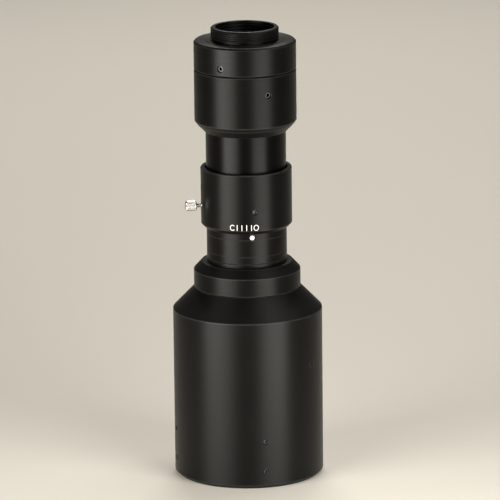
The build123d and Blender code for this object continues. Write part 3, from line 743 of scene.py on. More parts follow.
@dataclass(frozen=True)
class Anodised(Finish):
    """Black anodised aluminium: a fine satin grain, faint turning marks and paler edges, partly wear and
    partly a painted edge highlight.
    """

    label: str = "satin_black_anodised"
    colour: tuple[float, float, float] = (0.0018, 0.0016, 0.0013)
    roughness: float = 0.43
    ior: float = 1.25
    stretch: float = 0.62
    grain: float = 1.6e-6
    turning: float = 1.2e-6
    # Strength of the paler edges: wear and painted edge highlight.
    wear_and_sheen: float = 0.35
    cloud_scale: float = 70.0
    patch_scale: float = 420.0
    grain_scale: float = 5200.0
    turning_scale: float = 6500.0
    streak_scale: float = 900.0
    streaks: float = 0.07
    clouding: float = 0.05
    tones: tuple[float, float] = (0.8, 1.25)
    patches: tuple[float, float] = (0.2, 1.3)
    # Colour lift of the paler edges: wear and painted edge highlight.
    wear_and_sheen_lift: float = 0.05
    rubbed_polish: float = 0.1

    def paint(self, graph: Graph) -> None:
        """Lays grain, turning marks and the paler edges (wear and painted edge highlight) on the shader.

        Args:
            graph: Node tree to fill.
        """
        place = graph.place()
        cloud = graph.noise(place, self.cloud_scale, 3)
        dark, pale = (tuple(value * tone for value in self.colour) for tone in self.tones)
        body = graph.ramp(cloud, (0.3, dark), (0.7, pale))
        # Edges, hole mouths and the thread are painted paler: partly wear, partly a painted edge highlight.
        wear_and_sheen_share = graph.node("Attribute", attribute_name="edge_wear_and_sheen").outputs["Fac"]
        patchy = graph.span(graph.noise(place, self.patch_scale, 3), *self.patches)
        wear_and_sheen_share = graph.math("MULTIPLY", graph.math("MULTIPLY", wear_and_sheen_share, patchy), self.wear_and_sheen, clamp=True)
        wear_and_sheen_colour = tuple(self.wear_and_sheen_lift + value * 2 for value in self.colour)
        mixed = graph.node("Mix", {0: wear_and_sheen_share, 6: body, 7: (*wear_and_sheen_colour, 1.0)}, data_type="RGBA").outputs[2]
        graph.link(mixed, "Base Color")
        grain = graph.noise(place, self.grain_scale, 2)
        line = graph.turned_line(place)
        marks = graph.noise(line, self.turning_scale, 3, "1D")
        streak = graph.noise(line, self.streak_scale, 2, "1D")
        low, high = self.roughness * (1 - self.streaks), self.roughness * (1 + self.streaks)
        rough = graph.span(streak, low, high)
        clouded = graph.math("MULTIPLY", graph.math("SUBTRACT", cloud, 0.5), self.clouding)
        rough = graph.math("ADD", rough, clouded)
        polish = graph.math("MULTIPLY", wear_and_sheen_share, self.rubbed_polish)
        graph.link(graph.math("SUBTRACT", rough, polish), "Roughness")
        across = graph.node("Tangent", direction_type="RADIAL", axis="Z")
        graph.link(across.outputs[0], "Tangent")
        graph.set(Metallic=0.0, IOR=self.ior, Anisotropic=self.stretch, Anisotropic_Rotation=0.25)
        graph.bump((grain, self.grain), (marks, self.turning))


@dataclass(frozen=True)
class Steel(Finish):
    """Plain or blackened steel with a fine grain and a faint mottle."""

    label: str = "black_oxide_steel"
    colour: tuple[float, float, float] = (0.06, 0.06, 0.064)
    spread: float = 0.3
    roughness: float = 0.34
    metallic: float = 1.0
    grain: float = 2e-6
    mottle_scale: float = 900.0
    unevenness: float = 0.2
    grain_scale: float = 8000.0

    def paint(self, graph: Graph) -> None:
        """Lays mottle and grain on the shader.

        Args:
            graph: Node tree to fill.
        """
        place = graph.place()
        mottle = graph.noise(place, self.mottle_scale, 4)
        dark = tuple(value * (1 - self.spread) for value in self.colour)
        pale = tuple(min(value * (1 + self.spread), 1.0) for value in self.colour)
        graph.link(graph.ramp(mottle, (0.25, dark), (0.75, pale)), "Base Color")
        low, high = self.roughness * (1 - self.unevenness), self.roughness * (1 + self.unevenness)
        graph.link(graph.span(mottle, low, high), "Roughness")
        graph.set(Metallic=self.metallic)
        graph.bump((graph.noise(place, self.grain_scale, 2), self.grain))


@dataclass(frozen=True)
class Paint(Finish):
    """Filled engraving: matt paint with a fine grain and a slight unevenness."""

    label: str = "white_engraving_paint"
    colour: tuple[float, float, float] = (0.78, 0.77, 0.73)
    roughness: float = 0.5
    cloud_scale: float = 2500.0
    dulling: float = 0.86
    unevenness: float = 0.1
    grain: float = 4e-6

    def paint(self, graph: Graph) -> None:
        """Lays the paint's unevenness on the shader.

        Args:
            graph: Node tree to fill.
        """
        place = graph.place()
        cloud = graph.noise(place, self.cloud_scale, 3)
        dull = tuple(value * self.dulling for value in self.colour)
        graph.link(graph.ramp(cloud, (0.3, dull), (0.62, self.colour)), "Base Color")
        low, high = self.roughness - self.unevenness, self.roughness + self.unevenness
        graph.link(graph.span(cloud, high, low), "Roughness")
        graph.bump((cloud, self.grain))


@dataclass(frozen=True)
class CoatedGlass(Finish):
    """Optical glass with a thin anti-reflection coating that tints its reflections."""

    label: str = "coated_optical_glass"
    colour: tuple[float, float, float] = (0.93, 0.97, 0.98)
    coating: float = 330.0
    coating_ior: float = 1.38
    ior: float = 1.62
    clear: float = 0.92
    cloud_scale: float = 180.0
    dulling: float = 0.985
    roughness: tuple[float, float] = (0.012, 0.03)

    def paint(self, graph: Graph) -> None:
        """Sets the glass, with faint polishing unevenness.

        Args:
            graph: Node tree to fill.
        """
        place = graph.place()
        cloud = graph.noise(place, self.cloud_scale, 2)
        near = tuple(value * self.dulling for value in self.colour)
        graph.link(graph.ramp(cloud, (0.3, near), (0.7, self.colour)), "Base Color")
        graph.link(graph.span(cloud, *self.roughness), "Roughness")
        graph.set(Metallic=0.0, IOR=self.ior, Transmission_Weight=self.clear)
        graph.set(Thin_Film_Thickness=self.coating, Thin_Film_IOR=self.coating_ior)


@dataclass(frozen=True)
class StudioPaper(Finish):
    """Pale seamless studio paper with a faint tooth."""

    label: str = "pale_studio_paper"
    colour: tuple[float, float, float] = (0.78, 0.742, 0.672)
    tone_scale: float = 1.6
    tooth_scale: float = 900.0
    dulling: float = 0.975
    roughness: tuple[float, float] = (0.86, 0.96)
    specular: float = 0.2

    def paint(self, graph: Graph) -> None:
        """Lays the paper's tooth and slight tone changes on the shader.

        Args:
            graph: Node tree to fill.
        """
        place = graph.place()
        tone = graph.noise(place, self.tone_scale, 2)
        low = tuple(value * self.dulling for value in self.colour)
        graph.link(graph.ramp(tone, (0.3, low), (0.7, self.colour)), "Base Color")
        graph.link(graph.span(graph.noise(place, self.tooth_scale, 2), *self.roughness), "Roughness")
        graph.set(Specular_IOR_Level=self.specular)


ANODISED = Anodised()
ANODISED_BORE = Anodised(label="matt_black_anodised_bore", roughness=0.6, grain=3e-6, wear_and_sheen=0.15)
ANODISED_BARREL = Anodised(label="turned_black_anodised_barrel", ior=1.285, turning=2.4e-6)
ANODISED_RING = Anodised(label="satin_black_anodised_ring", ior=1.28)
ANODISED_TUBE = Anodised(
    label="smooth_black_anodised_tube", colour=(0.0007, 0.0007, 0.0006), roughness=0.37, ior=1.23
)
BLACK_STEEL = Steel()
PIN_STEEL = Steel(label="ground_pin_steel", colour=(0.42, 0.42, 0.43), spread=0.08, roughness=0.22)
BLADE_STEEL = Steel(label="blackened_spring_steel", colour=(0.045, 0.046, 0.052), spread=0.2, roughness=0.42)
CAM_BRASS = Steel(label="blackened_cam_brass", colour=(0.11, 0.085, 0.05), spread=0.35, roughness=0.36)
CHROME = Steel(label="bright_chrome", colour=(0.62, 0.61, 0.6), spread=0.05, roughness=0.2, grain=1e-6)
MARK_PAINT = Paint()
GLASS = CoatedGlass()
PAPER = StudioPaper()


@dataclass
class GrubScrews:
    """Headless set screws with a hexagon socket, a chamfered rim and a turned-down point.

    Args:
        radius: Radius of the thread's crest.
        length: Whole length.
        point_length: Length of the point.
        face_radius: Distance of the socket face from the optical axis.
        places: Angle and height of each screw.
        point_share: Radius of the point over that of the thread.
        socket_share: Radius of the socket's corners over that of the thread.
        rim: Chamfer of the thread's two ends.
        point_chamfer: Chamfer of the point.
        mouth_share: Radius of the socket's chamfered mouth over that of its corners.
        mouth_depth: Depth of that mouth, and of the drill's cone under the socket.
    """

    radius: float
    length: float
    point_length: float
    face_radius: float
    places: Sequence[tuple[float, float]]
    point_share: float = 0.6
    socket_share: float = 0.58
    rim: float = 0.16
    point_chamfer: float = 0.1
    mouth_share: float = 1.12
    mouth_depth: float = 0.12

    def build(self) -> MeshParts:
        """Builds all the screws as one mesh.

        Returns:
            The mesh parts.
        """
        point = self.radius * self.point_share
        socket = self.radius * self.socket_share * math.cos(math.pi / 6)
        shoulder = -(self.length - self.point_length)
        mouth = self.radius * self.socket_share * self.mouth_share
        corners = [
            Corner(0.0, -self.length),
            Corner(point - self.point_chamfer, -self.length, 0.03),
            Corner(point, -self.length + self.point_chamfer, 0.03),
            Corner(point, shoulder, 0.03),
            Corner(self.radius - self.rim, shoulder, 0.03),
            Corner(self.radius, shoulder + self.rim, 0.03),
            Corner(self.radius, -self.rim, 0.04),
            Corner(self.radius - self.rim, 0.0, 0.04),
            Corner(mouth, 0.0, 0.02),
            Corner(socket, -self.mouth_depth, 0.01, Outline.HEXAGON),
            Corner(socket, -self.length / 2, 0.01, Outline.HEXAGON),
            Corner(0.0, -self.length / 2 - self.mouth_depth),
        ]
        parts = MeshParts()
        points = rounded(corners, closed=False, steps=2, support=0.04)
        for angle, z in self.places:
            placing = side_matrix(angle, z, self.face_radius)
            Turned(points, columns=48, closed=False, placing=placing).build(parts)
        return parts


@dataclass
class SubAssembly:
    """A group of pieces that are built together and ride on the frame's bodies.

    Args:
        play: Room between the walls of two pieces that fit in one another.
    """

    frame: dict
    play: float = 0.04

    def measure(self, node: str) -> Measured:
        """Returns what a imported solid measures."""
        return Measured.of(self.frame, node)

    def add(
        self, name: str, mesh: bpy.types.Mesh, finish: Finish, body: str, slot: str, nodes: Sequence[str] = ()
    ) -> bpy.types.Object:
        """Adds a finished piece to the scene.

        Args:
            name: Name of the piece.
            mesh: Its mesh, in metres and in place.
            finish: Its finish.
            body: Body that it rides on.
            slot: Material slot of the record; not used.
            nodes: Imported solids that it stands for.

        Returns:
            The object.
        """
        piece = bpy.data.objects.new(name, mesh)
        bpy.context.scene.collection.objects.link(piece)
        mesh.materials.append(finish.material())
        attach(piece, body)
        if nodes:
            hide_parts(*nodes)
        log.info("%s: %d faces on %s", name, len(mesh.polygons), body)
        return piece

    def turn(
        self, name: str, node: str, piece: Turned, finish: Finish = ANODISED, body: str = "housing"
    ) -> None:
        """Adds a turned piece of black anodised aluminium.

        Args:
            name: Name of the piece.
            node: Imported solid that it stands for.
            piece: Its section, with what is cut into it.
            finish: Its finish.
            body: Body that it rides on.
        """
        self.add(name, piece.build().mesh(name), finish, body, "black_anodised", [node])

    def grub_screws(
        self, name: str, node: str, body: str, radius: float, point_length: float,
        places: Sequence[tuple[float, float]],
    ) -> None:
        """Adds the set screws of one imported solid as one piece.

        Args:
            name: Name of the piece.
            node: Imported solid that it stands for.
            body: Body that it rides on.
            radius: Radius of the screws' thread.
            point_length: Length of their point.
            places: Angle and height of each screw.
        """
        solid = self.measure(node)
        face = solid.face(radius)
        screws = GrubScrews(radius, face - solid.inner, point_length, face, places)
        self.add(name, screws.build().mesh(name), BLACK_STEEL, body, "screw_steel", [node])

    def build(self) -> None:
        """Builds and dresses the pieces; each sub-assembly has its own."""
        raise NotImplementedError


@dataclass
class ObjectiveBarrel(SubAssembly):
    """The wide barrel that holds the objective glass, with its set screws, plug and coupling ring."""

    rim_chamfer: float = 1.2
    edge: float = 0.3
    wall_top: float = 63.5
    step: float = 0.75
    throat_step: float = 1.4
    throat_length: float = 1.2
    cone_rise: float = 7.5
    screw_radius: float = 0.95
    screw_angle: float = 12.9
    screw_heights: tuple[float, float] = (6.5, 18.0)
    point_length: float = 0.54
    hole_floor: float = 0.06
    plug_radius: float = 1.3
    plug_length: float = 1.6
    plug_sink: float = 0.05
    plug_height: float = 44.7
    plug_turn: float = 45.0
    plug_chamfer: float = 0.1
    coupling_chamfer: float = 3.2
    coupling_shelf: float = 2.0
    spigot_radius: float = 17.0

    def screw_places(self) -> list[tuple[float, float]]:
        """Returns the angle and height of each set screw of the barrel."""
        return [(self.screw_angle + 90 * side, height) for side in range(4) for height in self.screw_heights]

    def barrel(self) -> None:
        """Builds the barrel with its cone, its stepped bore and its drilled holes."""
        shell, ring = self.measure("objective_barrel"), self.measure("coupling_ring")
        baffle, cell = self.measure("objective_baffle"), self.measure("objective_cell")
        wall, spigot = shell.outer, self.spigot_radius + self.play
        throat, bore = self.spigot_radius - self.throat_step, baffle.outer - self.step
        front = cell.outer + self.play
        corners = [
            Corner(wall - self.rim_chamfer, shell.low, 0.12),
            Corner(wall, shell.low + self.rim_chamfer, 0.2),
            Corner(wall, self.wall_top, 0.22),
            Corner(ring.outer, shell.high, 0.1),
            Corner(spigot, shell.high, 0.1),
            Corner(spigot, ring.low),
            Corner(throat, ring.low),
            Corner(throat, ring.low - self.throat_length),
            Corner(bore, ring.low - self.throat_length - self.cone_rise),
            Corner(bore, baffle.high),
            Corner(baffle.outer + self.play, baffle.high),
            Corner(baffle.outer + self.play, baffle.low),
            Corner(front, baffle.low),
            Corner(front, self.edge, 0.05),
            Corner(front + self.edge, shell.low, 0.05),
        ]
        holes = [
            Hole(angle, height, self.screw_radius + self.play, wall - front - self.hole_floor)
            for angle, height in self.screw_places()
        ]
        plug_angle = self.screw_angle + self.plug_turn
        plug_hole = Hole(plug_angle, self.plug_height, self.plug_radius + self.play, self.plug_length)
        body = Turned(rounded(corners), columns=288, holes=[*holes, plug_hole])
        self.turn("objective_barrel_shell", "objective_barrel", body, ANODISED_BARREL)

    def fasteners(self) -> None:
        """Builds the set screws and the plug of the barrel."""
        self.grub_screws(
            "barrel_grub_screws", "barrel_set_screws", "housing", self.screw_radius, self.point_length,
            self.screw_places(),
        )
        corners = [
            Corner(0.0, self.plug_sink - self.plug_length),
            Corner(self.plug_radius, self.plug_sink - self.plug_length, 0.04),
            Corner(self.plug_radius, -self.plug_chamfer, 0.05),
            Corner(self.plug_radius - self.plug_chamfer, 0.0, 0.05),
            Corner(0.0, 0.0),
        ]
        face = self.measure("objective_barrel").outer - self.plug_sink
        placing = side_matrix(self.screw_angle + self.plug_turn, self.plug_height, face)
        plug = Turned(rounded(corners, closed=False), columns=64, closed=False, placing=placing)
        self.turn("barrel_hole_plug", "barrel_plug", plug)

    def coupling(self) -> None:
        """Builds the coupling ring on top of the cone."""
        ring, barrel = self.measure("coupling_ring"), self.measure("objective_barrel")
        tube = self.measure("neck_lock_ring").outer
        corners = [
            Corner(self.spigot_radius, ring.low, 0.1),
            Corner(self.spigot_radius, barrel.high, 0.02),
            Corner(ring.outer - self.edge, barrel.high, 0.08),
            Corner(ring.outer, barrel.high + self.edge, 0.1),
            Corner(ring.outer, ring.high - self.coupling_chamfer, 0.16),
            Corner(tube + self.coupling_shelf, ring.high, 0.12),
            Corner(ring.inner, ring.high, 0.05),
            Corner(ring.inner, ring.low, 0.1),
        ]
        self.turn("coupling_ring_body", "coupling_ring", Turned(rounded(corners)))

    def build(self) -> None:
        """Builds the barrel, its screws and plug, and the coupling ring."""
        self.barrel()
        self.fasteners()
        self.coupling()


@dataclass
class MarkPlate:
    """Painted marks that stand a hair proud of a round wall.

    Args:
        radius: Radius of the wall.
        rise: Height of the paint over the wall.
        parts: Mesh of the marks so far.
        sink: Depth of the marks' foot under the wall.
        bow_steps: Steps of an oval or a C.
    """

    radius: float
    rise: float
    parts: MeshParts = field(default_factory=MeshParts)
    sink: float = 0.02
    bow_steps: int = 48

    def wrap(self, along: float, z: float, rise: float) -> tuple[float, float, float]:
        """Returns the place on the wall of a point of the flat drawing, raised from the wall."""
        reach = self.radius + rise
        angle = along / self.radius
        return (reach * math.sin(angle), -reach * math.cos(angle), z)

    def disc(self, along: float, z: float, radius: float, columns: int = 48) -> None:
        """Adds a round mark with a low dome.

        Args:
            along: Arc length from the front to its middle.
            z: Height of its middle.
            radius: Radius of the mark.
            columns: Steps round the mark.
        """
        rings = (
            (1.0, -self.sink), (1.0, self.rise * 0.4), (0.96, self.rise * 0.8),
            (0.85, self.rise), (0.4, self.rise),
        )
        places = []
        for share, rise in rings:
            for number in range(columns):
                turned = 2 * math.pi * number / columns
                across, up = radius * share * math.cos(turned), radius * share * math.sin(turned)
                places.append(self.wrap(along + across, z + up, rise))
        places.append(self.wrap(along, z, self.rise))
        faces: list[tuple[int, ...]] = []
        for ring in range(len(rings) - 1):
            for n in range(columns):
                a, b = ring * columns + n, ring * columns + (n + 1) % columns
                faces.append((a, b, b + columns, a + columns))
        last = (len(rings) - 1) * columns
        faces.extend((last + n, last + (n + 1) % columns, len(places) - 1) for n in range(columns))
        self.parts.add(np.array(places), faces, [0.0] * len(places))

    def stroke(self, line: Sequence[tuple[float, float]], width: float, closed: bool = False) -> None:
        """Adds a stroke of even width.

        Args:
            line: Middle line as arc length and height.
            width: Width of the stroke.
            closed: Whether the stroke joins its own start.
        """
        profile = (
            (1.0, -self.sink), (1.0, self.rise * 0.6), (0.8, self.rise),
            (-0.8, self.rise), (-1.0, self.rise * 0.6), (-1.0, -self.sink),
        )
        drawn = np.array(line)
        count, size = len(drawn), len(profile)
        places = []
        for number in range(count):
            before = drawn[number - 1] if closed or number else drawn[0]
            after = drawn[(number + 1) % count] if closed or number < count - 1 else drawn[-1]
            along = (after - before) / np.linalg.norm(after - before)
            side = np.array((along[1], -along[0])) * width / 2
            for share, rise in profile:
                spot = drawn[number] + side * share
                places.append(self.wrap(spot[0], spot[1], rise))
        faces: list[tuple[int, ...]] = []
        for number in range(count if closed else count - 1):
            first, second = number * size, (number + 1) % count * size
            faces.extend((first + k, second + k, second + k + 1, first + k + 1) for k in range(size - 1))
        if not closed:
            last = (count - 1) * size
            faces += [tuple(range(size)), tuple(last + k for k in reversed(range(size)))]
        self.parts.add(np.array(places), faces, [0.0] * len(places))

    def bow(self, along: float, z: float, width: float, height: float, gap: float, stroke: float) -> None:
        """Adds an oval, or a C where the gap at its right is wider than nothing.

        Args:
            along: Arc length from the front to its middle.
            z: Height of its middle.
            width: Width of the middle line.
            height: Height of the middle line.
            gap: Angle of the opening at the right.
            stroke: Width of the stroke.
        """
        whole = gap == 0
        count = self.bow_steps if whole else self.bow_steps + 1
        line = []
        for number in range(count):
            turned = math.radians(gap / 2 + (360 - gap) * number / self.bow_steps)
            line.append((along + width / 2 * math.cos(turned), z + height / 2 * math.sin(turned)))
        self.stroke(line, stroke, closed=whole)


@dataclass
class ApertureNeck(SubAssembly):
    """The neck below the iris ring: lock ring, neck band, index ring and its dot."""

    groove_height: float = 1.4
    groove: float = 0.2
    edge: float = 0.15
    dot_angle: float = 7.66
    dot_height: float = 93.4
    dot_radius: float = 0.86
    dot_rise: float = 0.03

    def lock_ring(self) -> None:
        """Builds the lock ring with its fine groove."""
        ring = self.measure("neck_lock_ring")
        middle = ring.low + self.groove_height
        corners = [
            Corner(ring.outer, ring.low, 0.03),
            Corner(ring.outer, middle - self.groove, 0.05),
            Corner(ring.outer - self.groove, middle, 0.03),
            Corner(ring.outer, middle + self.groove, 0.05),
            Corner(ring.outer, ring.high - self.edge, 0.05),
            Corner(ring.outer - self.edge, ring.high, 0.05),
            Corner(ring.inner, ring.high),
            Corner(ring.inner, ring.low),
        ]
        self.turn("neck_lock_ring_body", "neck_lock_ring", Turned(rounded(corners, support=0.08)))

    def neck_band(self) -> None:
        """Builds the aperture barrel, whose plain band is all that shows of it."""
        neck, ring, index = (self.measure(n) for n in ("aperture_barrel", "neck_lock_ring", "index_ring"))
        threaded = ring.inner - self.play
        corners = [
            Corner(threaded, neck.low, 0.1),
            Corner(threaded, ring.high, 0.02),
            Corner(neck.outer, ring.high, 0.04),
            Corner(neck.outer, index.low - self.edge, 0.06),
            Corner(neck.outer - self.edge, index.low, 0.06),
            Corner(index.inner - self.play, index.low, 0.02),
            Corner(index.inner - self.play, neck.high, 0.1),
            Corner(neck.inner, neck.high, 0.1),
            Corner(neck.inner, neck.low, 0.1),
        ]
        self.turn("aperture_neck_body", "aperture_barrel", Turned(rounded(corners, support=0.1)))

    def index_ring(self) -> None:
        """Builds the index ring and the white dot that the iris scale is read at."""
        ring = self.measure("index_ring")
        corners = [
            Corner(ring.outer, ring.low, 0.08),
            Corner(ring.outer, ring.high, 0.05),
            Corner(ring.inner, ring.high),
            Corner(ring.inner, ring.low),
        ]
        self.turn("index_ring_body", "index_ring", Turned(rounded(corners, support=0.1)))
        dot = MarkPlate(ring.outer, self.dot_rise)
        dot.disc(math.radians(self.dot_angle) * ring.outer, self.dot_height, self.dot_radius)
        self.add("index_dot", dot.parts.mesh("index_dot"), MARK_PAINT, "housing", "black_anodised")

    def build(self) -> None:
        """Builds the lock ring, the neck band and the index ring."""
        self.lock_ring()
        self.neck_band()
        self.index_ring()


@dataclass
class IrisRing(SubAssembly):
    """The sleeve that the hand turns, with its scale, set screw, drive screw and thumb screw."""

    chamfer: float = 1.5
    edge: float = 0.3
    relief_length: float = 3.0
    relief_depth: float = 0.5
    screw_angle: float = 10.6
    screw_height: float = 103.4
    screw_radius: float = 0.95
    point_length: float = 0.4
    screw_hole_chamfer: float = 0.14
    hole_floor: float = 0.04
    drive_angle: float = -79.4
    drive_height: float = 110.09
    drive_hole_radius: float = 1.44
    drive_hole_depth: float = 1.5
    drive_hole_chamfer: float = 0.12
    stem_radius: float = 0.8
    stem_play: float = 0.06
    stem_hole_chamfer: float = 0.36
    stem_chamfer: float = 0.15
    stem_pitch: float = 0.5
    stem_thread_depth: float = 0.16
    stem_thread_inset: float = 0.25
    stem_row: float = 0.05
    head_radius: float = 1.95
    head_gap: float = 2.05
    head_length: float = 4.05
    head_chamfer: float = 0.4
    head_chamfer_length: float = 0.35
    dish_share: float = 0.42
    dish_depth: float = 0.12
    head_sharp: float = 24.0
    knurl: Knurl = Knurl(20, 0.13)
    scale_pitch: float = 6.0
    scale_low: float = 96.6
    scale_high: float = 98.8
    stroke: float = 0.25
    stroke_rows: int = 6
    letter_width: float = 1.75
    letter_gap: float = 80.0
    mark_rise: float = 0.015

    def sleeve(self) -> None:
        """Builds the sleeve with its lower chamfer, upper relief and three holes."""
        ring = self.measure("iris_sleeve")
        relief = ring.inner + self.relief_depth
        corners = [
            Corner(ring.outer - self.chamfer, ring.low, 0.1),
            Corner(ring.outer, ring.low + self.chamfer, 0.16),
            Corner(ring.outer, ring.high - self.edge, 0.1),
            Corner(ring.outer - self.edge, ring.high, 0.1),
            Corner(relief, ring.high, 0.08),
            Corner(relief, ring.high - self.relief_length, 0.1),
            Corner(ring.inner, ring.high - self.relief_length, 0.1),
            Corner(ring.inner, ring.low, 0.05),
        ]
        depth = ring.outer - ring.inner - self.hole_floor
        screw_hole, stem_hole = self.screw_radius + self.play, self.stem_radius + self.stem_play
        holes = [
            Hole(self.screw_angle, self.screw_height, screw_hole, depth, self.screw_hole_chamfer),
            Hole(self.drive_angle, self.screw_height, stem_hole, depth, self.stem_hole_chamfer),
            Hole(
                self.drive_angle, self.drive_height, self.drive_hole_radius, self.drive_hole_depth,
                self.drive_hole_chamfer,
            ),
        ]
        self.turn("iris_ring_sleeve", "iris_sleeve", Turned(rounded(corners), holes=holes), body="iris_ring")

    def set_screw(self) -> None:
        """Builds the set screw at the front of the sleeve."""
        self.grub_screws(
            "sleeve_grub_screw", "sleeve_set_screw", "iris_ring", self.screw_radius, self.point_length,
            [(self.screw_angle, self.screw_height)],
        )

    def thumb_screw(self) -> None:
        """Builds the thumb screw: a threaded stem and a straight-knurled head with chamfered ends."""
        sleeve, node = self.measure("iris_sleeve"), self.measure("thumb_screw")
        foot = sleeve.outer + self.head_gap
        tip, end = node.inner - foot, self.head_length
        stem = [
            Corner(0.0, tip),
            Corner(self.stem_radius - self.stem_chamfer, tip, 0.04),
            Corner(self.stem_radius, tip + self.stem_chamfer, 0.04),
            Corner(self.stem_radius, 0.0),
        ]
        points = rounded(stem, closed=False, steps=2, support=0.04)[:-1]
        low, high = tip + self.stem_thread_inset, -self.stem_row
        thread = Thread(self.stem_pitch, self.stem_thread_depth, low, high)
        rows = int((high - tip - self.stem_thread_inset) / self.stem_row)
        points += [
            Point(self.stem_radius, low + self.stem_row * number, 0.0, Outline.THREADED)
            for number in range(rows + 1)
        ]
        head = self.head_radius
        shoulder, chamfer = head - self.head_chamfer, self.head_chamfer_length
        points += rounded(
            [
                Corner(self.stem_radius, -0.02),
                Corner(self.stem_radius, 0.0, 0.01),
                Corner(shoulder, 0.0, 0.03),
                Corner(head, chamfer, 0.05, Outline.KNURLED),
                Corner(head, end - chamfer, 0.05, Outline.KNURLED),
                Corner(shoulder, end, 0.05),
                Corner(head * self.dish_share, end, 0.03),
                Corner(0.0, end - self.dish_depth),
            ],
            closed=False, steps=3, support=0.05,
        )
        placing = side_matrix(self.drive_angle, self.screw_height, foot)
        body = Turned(points, columns=240, closed=False, knurl=self.knurl, thread=thread, placing=placing)
        mesh = body.build().mesh("knurled_thumb_screw", math.radians(self.head_sharp))
        self.add("knurled_thumb_screw", mesh, CHROME, "thumb_screw", "thumb_chrome", ["thumb_screw"])

    def scale(self) -> None:
        """Draws the iris scale: closed mark, four strokes and open mark, left to right."""
        wall = self.measure("iris_sleeve").outer
        plate = MarkPlate(wall, self.mark_rise)
        step = math.radians(self.scale_pitch) * wall
        middle, height = (self.scale_low + self.scale_high) / 2, self.scale_high - self.scale_low
        tall = height - self.stroke
        plate.bow(-3 * step, middle, self.letter_width, tall, self.letter_gap, self.stroke)
        levels = [self.scale_low + height * row / self.stroke_rows for row in range(self.stroke_rows + 1)]
        for number in range(-2, 2):
            plate.stroke([(number * step, level) for level in levels], self.stroke)
        plate.bow(2 * step, middle, self.letter_width, tall, 0.0, self.stroke)
        mesh = plate.parts.mesh("iris_scale_marks")
        self.add("iris_scale_marks", mesh, MARK_PAINT, "iris_ring", "black_anodised")

    def build(self) -> None:
        """Builds the sleeve, its screws and its scale."""
        self.sleeve()
        self.set_screw()
        self.thumb_screw()
        self.scale()


@dataclass
class RelayTube(SubAssembly):
    """The plain tube between the iris ring and the camera adapter."""

    def build(self) -> None:
        """Builds the relay barrel with its spigot, shelf and bore."""
        tube, cell = self.measure("relay_barrel"), self.measure("rear_cell")
        housing, cover = self.measure("iris_housing"), self.measure("iris_cover_ring")
        corners = [
            Corner(cover.outer, tube.low, 0.1),
            Corner(cover.outer, housing.high, 0.02),
            Corner(tube.outer, housing.high, 0.05),
            Corner(tube.outer, tube.high, 0.15),
            Corner(cell.outer + self.play, tube.high, 0.1),
            Corner(cell.outer + self.play, cell.low, 0.05),
            Corner(tube.inner, cell.low, 0.1),
            Corner(tube.inner, tube.low, 0.1),
        ]
        self.turn("relay_tube_body", "relay_barrel", Turned(rounded(corners)), ANODISED_TUBE)


@dataclass
class CameraAdapter(SubAssembly):
    """The wide adapter clamped on the relay tube, with its set screws."""

    facet_inset: float = 1.05
    lower_chamfer: float = 2.7
    upper_chamfer: float = 1.4
    edge: float = 0.3
    spigot_length: float = 7.3
    groove_depth: float = 0.8
    groove_half: float = 0.75
    groove_height: float = 157.8
    shoulder_inset: float = 2.04
    spigot_wall: float = 3.5
    screw_angle: float = 26.8
    screw_drop: float = 6.9
    screw_radius: float = 1.15
    point_length: float = 0.5
    hole_chamfer: float = 0.15
    hole_floor: float = 0.05

    def build(self) -> None:
        """Builds the adapter and its three set screws."""
        node, tube = self.measure("camera_adapter"), self.measure("relay_barrel")
        top = node.high - self.spigot_length
        bore = tube.outer + self.play
        upper_bore = bore - self.shoulder_inset
        spigot = upper_bore + self.spigot_wall
        root = spigot - self.groove_depth
        corners = [
            Corner(bore + self.edge, node.low, 0.06),
            Corner(node.outer - self.facet_inset, node.low + self.lower_chamfer, 0.16),
            Corner(node.outer, node.low + self.lower_chamfer + self.upper_chamfer, 0.2),
            Corner(node.outer, top - self.edge, 0.1),
            Corner(node.outer - self.edge, top, 0.1),
            Corner(spigot, top, 0.05),
            Corner(spigot, self.groove_height - self.groove_half, 0.05),
            Corner(root, self.groove_height - self.groove_half, 0.05),
            Corner(root, self.groove_height + self.groove_half, 0.05),
            Corner(spigot, self.groove_height + self.groove_half, 0.05),
            Corner(spigot, node.high, 0.12),
            Corner(upper_bore, node.high, 0.12),
            Corner(upper_bore, tube.high, 0.02),
            Corner(bore, tube.high, 0.02),
            Corner(bore, node.low, 0.03),
        ]
        height = top - self.screw_drop
        places = [(self.screw_angle + 120 * side, height) for side in range(3)]
        drilled, depth = self.screw_radius + self.play, node.outer - bore - self.hole_floor
        holes = [Hole(angle, z, drilled, depth, self.hole_chamfer) for angle, z in places]
        self.turn("camera_adapter_body", "camera_adapter", Turned(rounded(corners), holes=holes))
        self.grub_screws(
            "adapter_grub_screws", "adapter_set_screws", "housing", self.screw_radius, self.point_length,
            places,
        )


